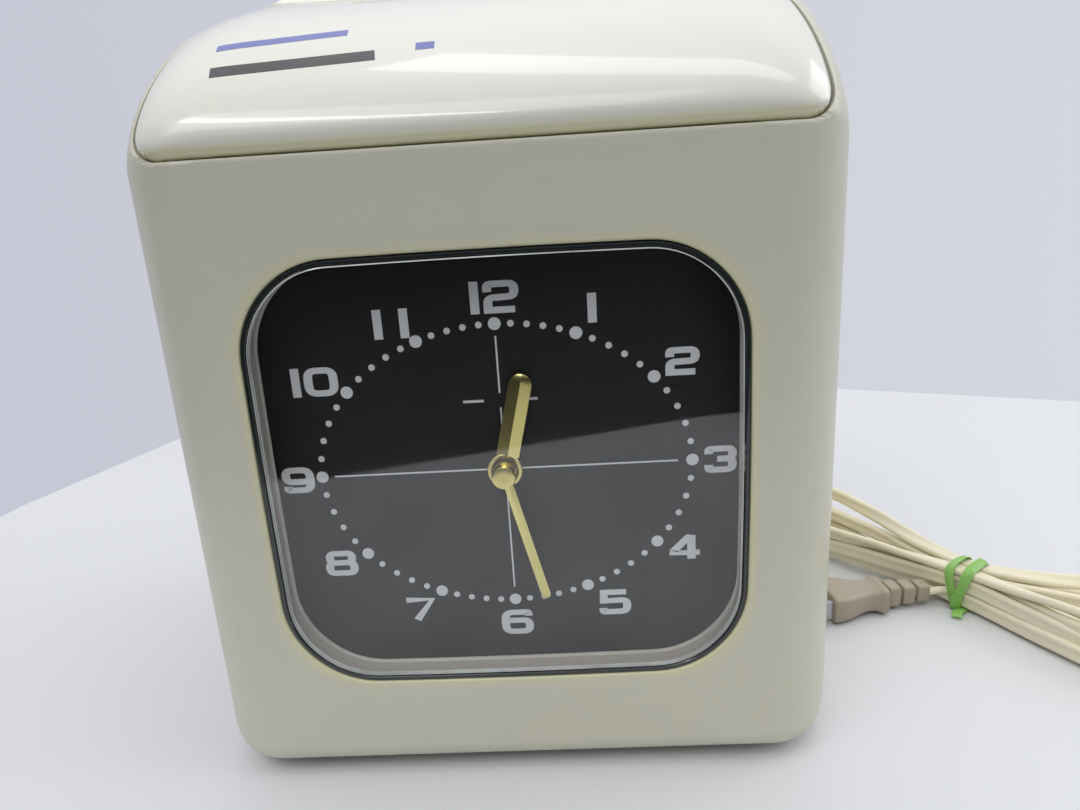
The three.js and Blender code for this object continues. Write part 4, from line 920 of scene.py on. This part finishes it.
def spine_point(along, across):
    u = along / 73.6
    x, y = spine(u)
    dx, dy = 44 + 6 * u, -59 + 16 * u
    size = math.hypot(dx, dy)
    return x - dy / size * across, y + dx / size * across


def smooth(q):
    q = min(max(q, 0.0), 1.0)
    return q * q * (3 - 2 * q)


# Each run of the lead through the tie: (across, height, stood) at the start end, at the tie and at the far end.
# stood is 1 where the flat lead stands on its edge and 0 where it lies flat.
RUNS = (
    ((0.5, 3.0, 1), (1.0, 3.6, 1), (7.0, 3.4, 1)),
    ((-8.0, 3.4, 1), (-1.6, 3.6, 1), (-9.0, 3.4, 1)),
    ((9.0, 3.4, 1), (3.6, 3.6, 1), (10.5, 4.0, 1)),
    ((-10.6, 6.0, 1), (-4.2, 8.8, 1), (-12.0, 6.0, 1)),
    ((11.8, 8.2, 1), (1.0, 8.8, 1), (13.6, 8.8, 1)),
    ((-7.8, 9.0, 1), (-1.6, 8.8, 1), (-11.2, 9.6, 1)),
    ((8.6, 9.4, 1), (3.6, 8.8, 1), (16.6, 9.6, 1)),
    ((-10.4, 12.0, 1), (-2.8, 12.5, 0), (-9.6, 14.4, 0.6)),
    ((12.4, 16.0, 1), (2.8, 12.5, 0), (20.0, 13.6, 0.8)),
    ((0.0, 0.0, 1), (-4.3, 3.5, 1), (-14.4, 3.4, 1)),
)
ENDS = (60.0, 54.0)


def run_point(run, along):
    """A point of one run through the tie: (x, y, z, stood)."""
    start, tie, far = RUNS[run]
    end, reach = (start, ENDS[0]) if along < 0 else (far, ENDS[1])
    share = smooth(abs(along) / reach) ** 0.85
    across, height, stood = between(tie, end, share)
    across += 0.5 * noise.noise(Vector((along * 0.05, run * 3.7, 1.3))) * share * 3
    height += 0.5 * noise.noise(Vector((along * 0.06, run * 5.1, 8.3))) * share * 2
    return (*spine_point(along, across), max(height, LEAD_LOW), stood)


def fold(first, second, end):
    """The half turn that joins two runs beyond one end of the hank."""
    reach = ENDS[end] * (-1 if end == 0 else 1)
    a, b = (RUNS[run][0 if end == 0 else 2] for run in (first, second))
    middle, radius = (a[0] + b[0]) / 2, abs(a[0] - b[0]) / 2
    made = []
    for step in range(1, 10):
        turn = math.pi * step / 10
        share = smooth(step / 10)
        along = reach + math.copysign(radius * 1.15 * math.sin(turn), reach)
        across = middle + math.copysign(radius, a[0] - b[0]) * math.cos(turn)
        height, stood = between(a[1:], b[1:], share)
        made.append((*spine_point(along, across), max(height, LEAD_LOW), stood))
    return made


def lead_points():
    """The lead's middle line from the strain relief to the plug, as (x, y, z, stood)."""
    made = [(54, 81.6, 15, 0), (54, 86, 14.7, 0), (55.5, 92, 12.4, 0), (59.5, 98, 8.6, 0), (66, 102.4, 5.2, 0.1),
            (74, 104.0, 3.4, 0.3), (81, 102.4, 2.8, 0.6), (87.5, 98, 2.75, 0.9), (92.8, 92, 2.75, 1),
            (98.4, 84.6, 2.8, 1)]
    stops = [-ENDS[0] + (ENDS[0] + ENDS[1]) * i / 18 for i in range(19)]
    last = len(RUNS) - 1
    for run in range(last):
        order = stops if run % 2 == 0 else stops[::-1]
        made += [run_point(run, along) for along in order]
        made += fold(run, run + 1, 1 if run % 2 == 0 else 0)
    made += [run_point(last, along) for along in range(54, 0, -6)]
    made += [(*spine_point(0, -4.9), 3.7, 1), (138.2, 8.6, 4.3, 0.7), (134.5, 9.1, 4.9, 0.2), (131, 9.15, 5, 0)]
    return made


def refined(points, step):
    """A Catmull-Rom line through the points, with about `step` between its own."""
    made = []
    for i in range(len(points) - 1):
        p = [Vector(points[min(max(i + k, 0), len(points) - 1)]) for k in (-1, 0, 1, 2)]
        count = max(1, round((p[2].xyz - p[1].xyz).length / step))
        for k in range(count):
            t = k / count
            made.append(0.5 * (2 * p[1] + (p[2] - p[0]) * t + (2 * p[0] - 5 * p[1] + 4 * p[2] - p[3]) * t * t
                               + (3 * p[1] - p[0] - 3 * p[2] + p[3]) * t**3))
    made.append(Vector(points[-1]))
    return made


def twin_section():
    """The flat twin lead's outline, 5.2 wide and 2.5 thick, with a groove along its middle."""
    lobe = arc(1.35, 0, 1.25, -120, 120, 12)
    return lobe + [(-x, y) for x, y in reversed(lobe)]


def heading(line, i):
    """The direction of a line at its point i."""
    return (line[min(i + 1, len(line) - 1)].xyz - line[max(i - 1, 0)].xyz).normalized()


def make_lead():
    line = refined(lead_points(), 1.9)
    section = twin_section()
    rings = []
    flat = Vector((0, 0, 1))
    for i, at in enumerate(line):
        ahead = heading(line, i)
        side = flat.cross(ahead).normalized()
        up = ahead.cross(side)
        angle = at[3] * math.pi / 2
        wide = side * math.cos(angle) + up * math.sin(angle)
        thick = ahead.cross(wide)
        rings.append([tuple(at.xyz + wide * a + thick * b) for a, b in section])
    lead = loft("mains_cable", rings, LEAD, crease=60)
    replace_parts(lead, "mains_lead", "lead_hank")
    path = [tuple(p.xyz * MM) for p in line]
    length = sum((b.xyz - a.xyz).length for a, b in zip(line, line[1:])) * MM
    return lead, path, length


def on_table(point):
    """The point, raised to the table where it would be below it."""
    return point[0], point[1], max(point[2], 0.02)


def make_tie():
    """Two turns of a flat tie that part at the top, with a tail on the table."""
    line = []
    count = 84
    for i in range(count + 1):
        turn = -0.30 + 2.28 * i / count
        angle = 2 * math.pi * turn
        layer = 0.25 + 0.55 * turn
        across, up = math.cos(angle), math.sin(angle)
        corner = (abs(across) ** 4 + abs(up) ** 4) ** -0.25
        lean = (1 if turn > 0.72 else -1) * 3.0 * smooth((up + 1) / 2)
        x, y = spine_point(lean + 0.6, -across * corner * (6.2 + layer) - 0.5)
        line.append(Vector((x, y, max(TIE_Z + up * corner * (7.1 + layer), 0.55))))
    tail = [line[0], line[0] + Vector((-1.2, -2.6, -1.0)), Vector((138.9, 0.4, 1.5)), Vector((137.6, -1.6, 0.9))]
    half = ((0.3, 0.55), (0.8, 0.3), (1.45, 0.22), (1.5, 0), (1.2, -0.16))
    section = [*half, *[(-a, b) for a, b in reversed(half)]]
    pieces = []
    for number, path in enumerate((line, tail)):
        path = [p.xyz for p in refined([(*p, 0) for p in path], 0.8)]
        rings = []
        for i, at in enumerate(path):
            ahead = heading(path, i)
            middle = Vector((*spine_point(0, -0.5), TIE_Z)) if number == 0 else at - Vector((0, 0, 5))
            outward = at - middle
            outward = (outward - outward.project(ahead)).normalized()
            side = ahead.cross(outward)
            crumple = 1 + 0.12 * noise.noise(Vector((i * 0.21, number, 0)))
            rings.append([on_table(at + side * a * crumple + outward * b) for a, b in section])
        pieces.append(loft("turn", rings, TIE, crease=50))
    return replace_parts(merged("green_tie", pieces), "lead_tie")


def plug_ring(along, half_across, half_up, power):
    """A rounded cross-section of the plug, at a distance from its lead end."""
    ring = []
    for i in range(40):
        angle = 2 * math.pi * i / 40
        c, s = math.cos(angle), math.sin(angle)
        across = math.copysign(abs(c) ** (2 / power), c) * half_across
        up = math.copysign(abs(s) ** (2 / power), s) * half_up
        ring.append(tuple(PLUG_AT + PLUG_TURN @ Vector((along, across, up))))
    return ring


def make_plug():
    stops = [(0, 2.2, 2.0, 3), (-0.3, 2.7, 2.7, 4)]
    for end, half_across, half_up in ((-4.2, 2.9, 3.0), (-9.3, 3.15, 3.3), (-14.4, 3.4, 3.6)):
        rounded = (half_across * 0.93, half_up * 0.93, 5)
        stops += [(end + 3.9, *rounded), (end + 3.6, half_across, half_up, 6), (end + 0.3, half_across, half_up, 6),
                  (end, *rounded), (end - 0.15, 2.0, 1.9, 3), (end - 1.05, 2.0, 1.9, 3)]
    stops += [(-15.6, 2.4, 2.2, 3), (-15.7, 5.6, 4.1, 5), (-15.95, 6.1, 4.5, 5), (-17.6, 6.2, 4.6, 5),
              (-18.1, 5.9, 4.3, 5), (-19.6, 5.35, 4.0, 4), (-22, 5.3, 4.0, 3.6), (-25, 6.2, 4.2, 3.6),
              (-28, 7.7, 4.5, 4), (-31, 8.5, 4.65, 5), (-34.6, 8.9, 4.68, 6), (-35.2, 8.75, 4.55, 6),
              (-35.5, 8.4, 4.2, 6)]
    body = loft("plug_body", [plug_ring(*stop) for stop in stops], PLUG, crease=40)
    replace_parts(body, "power_plug")
    outline = [(-35, -0.75), (-52.4, -0.75), (-53, -0.4), (-53, 0.4), (-52.4, 0.75), (-35, 0.75)]
    blades = []
    for middle in (-6.35, 6.35):
        rings = []
        for up, draw in ((-3.15, 0.25), (-2.95, 0), (2.95, 0), (3.15, 0.25)):
            ring = []
            for along, across in outline:
                at = Vector((along + (draw if along < -40 else 0), middle + across * (1 - draw), up))
                ring.append(tuple(PLUG_AT + PLUG_TURN @ at))
            rings.append(ring)
        blade = loft("plug_pin", rings, STEEL)
        hole = PLUG_AT + PLUG_TURN @ Vector((-48.5, middle, 0))
        blades.append(carved(blade, rod_tool("Y", 1.5, hole.y - 3, hole.y + 3, (hole.x, hole.z), 24)))
    return body, merged("plug_blades", blades, STEEL)


def make_relief():
    """The ribbed sleeve that carries the lead out of the rear panel."""
    profile = [(3.0, 57.2), (5.3, 57.2), (5.5, 57.5), (5.5, 58.7), (4, 58.75), (4, 61.8), (5.3, 61.8), (5.5, 62.1),
               (5.5, 63.1), (5.2, 63.5)]
    for rib in range(6):
        start = 64.2 + rib * 2.9
        radius = 4.15 - rib * 0.19
        groove = radius - 0.75
        profile += [(radius, start), (radius, start + 1.7), (groove, start + 1.85), (groove, start + 2.75)]
    profile += [(2.95, 81.4), (2.75, 81.8)]
    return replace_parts(turned("lead_sleeve", "Y", EXIT, profile, LEAD), "strain_relief")


# -------- stage


def emitter(name, at, toward, size, power, color, turn=0.0):
    """A rectangular area light. `turn` is in degrees round its own direction."""
    light = bpy.data.lights.new(name, "AREA")
    light.shape = "RECTANGLE"
    light.size, light.size_y = size
    light.energy = power
    light.color = color
    obj = linked(name, light)
    obj.location = at
    facing = (Vector(toward) - Vector(at)).to_track_quat("-Z", "Y").to_matrix()
    obj.rotation_euler = (facing @ Matrix.Rotation(math.radians(turn), 3, "Z")).to_euler()
    obj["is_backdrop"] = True


def make_stage():
    """The table, the room that the lens and the cover mirror, and the lights."""
    scene = bpy.context.scene
    scene.view_settings.view_transform = "Standard"
    table, graph, shader, where = new_material("table_top")
    graph.fill(shader, {
        "Base Color": graph.mixed(graph.noise(where, 3.0, 3.0), (0.64, 0.65, 0.675), (0.68, 0.69, 0.71)),
        "Roughness": 0.55,
    })
    outline = [(-300, -284), (-284, 140), (-246, 300), (-160, 330), (203, 302), (1100, -130), (1100, -560),
               (101, -367), (-120, -284)]
    floor = prism("table", "Z", outline, -26, 0, table)
    eased_edges(floor, 3, 3)
    floor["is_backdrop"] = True
    scene.world = bpy.data.worlds.new("room")
    graph = Graph(scene.world)
    way = graph.axes(graph.nodes.new("ShaderNodeTexCoord").outputs["Generated"])
    wall = graph.mixed(graph.spread(way["X"], -0.7, 0.6, 0, 1), (0.56, 0.57, 0.66), (0.66, 0.68, 0.74))
    near = graph.mixed(graph.spread(way["Z"], -0.05, 0.75, 0, 1), (0.006, 0.006, 0.007), (0.34, 0.34, 0.36))
    face = graph.mixed(graph.spread(way["Y"], -0.25, 0.15, 1, 0), wall, near)
    face = graph.mixed(graph.spread(way["Z"], 0.35, 0.8, 0, 1), face, (1.05, 1.06, 1.08))
    graph.fill(graph.nodes["Background"], {"Color": face, "Strength": 1.0})
    tube_white = (1.0, 0.99, 0.97)
    emitter("tubes_above", (0.23, 0.0, 1.5), (0.23, 0.0, 0.0), (1.35, 0.26), 2.2, tube_white, -41)
    emitter("tubes_in_front", (-0.5, -1.0, 1.5), (-0.5, -1.0, 0.0), (1.35, 0.14), 4.0, tube_white, -56)
    emitter("room_glow", (-0.35, -0.9, 1.5), (0.0, 0.0, 0.1), (1.4, 0.7), 4.5, (1.0, 0.985, 0.96))
    emitter("window_right", (1.3, 0.1, 0.9), (0.0, 0.0, 0.1), (0.9, 0.9), 5.0, (0.97, 0.985, 1.0))


def make_camera():
    data = bpy.data.cameras.new("camera")
    data.sensor_width, data.lens = 36.0, 23.94
    data.clip_start, data.clip_end = 0.005, 30
    camera = linked("camera", data)
    right = Vector((0.99779, 0.02712, -0.06060))
    up = Vector((0.05143, 0.26153, 0.96383))
    forward = Vector((-0.04199, 0.96482, -0.25956))
    turn = Matrix((right, up, -forward)).transposed().to_4x4()
    camera.matrix_world = Matrix.Translation((0.016, -0.212, 0.1359)) @ turn
    bpy.context.scene.camera = camera


# -------- everything together

LOOKS = {
    CASE: ("setting_panel",),
    BRASS: ("movement_front_plate", "movement_back_plate", "minute_arbor", "hour_wheel", "motion_wheel",
            "third_wheel"),
    STEEL: ("motor_rotor", "chute_front_plate", "chute_rear_plate", "type_shaft", "print_hammer", "hammer_shaft",
            "hammer_solenoid", "solenoid_plunger", "transformer", "lock_barrel", "lock_cam"),
    ZINC: ("motor_stator", "chassis", "receiver_motor", "type_bracket", "print_motor", "lock_body"),
    BLACK: ("card_receiver", "day_type_wheel", "hour_type_wheel", "minute_type_wheel", "ribbon_cassette"),
    NYLON: ("receiver_pinion", "print_pinion", "ribbon_spool_left", "ribbon_spool_right"),
    CLOTH: ("ink_ribbon",),
    KEYS: ("setting_key_1", "setting_key_2", "setting_key_3"),
    BOARD: ("setting_board", "main_board"),
}

make_camera()
make_stage()
lead, lead_path, lead_length = make_lead()
tie = make_tie()
plug, blades = make_plug()
make_relief()
make_front_case()
make_top_cover()
make_card_hood()
make_rear_panel()
make_base()
make_window()
make_dial()
make_hands()
make_marks()
for look, names in LOOKS.items():
    for node in names:
        eased_edges(painted(bpy.data.objects[node], look), 0.2, 2, 35)
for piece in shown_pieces():
    if not body_of(piece):
        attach(piece, "case")
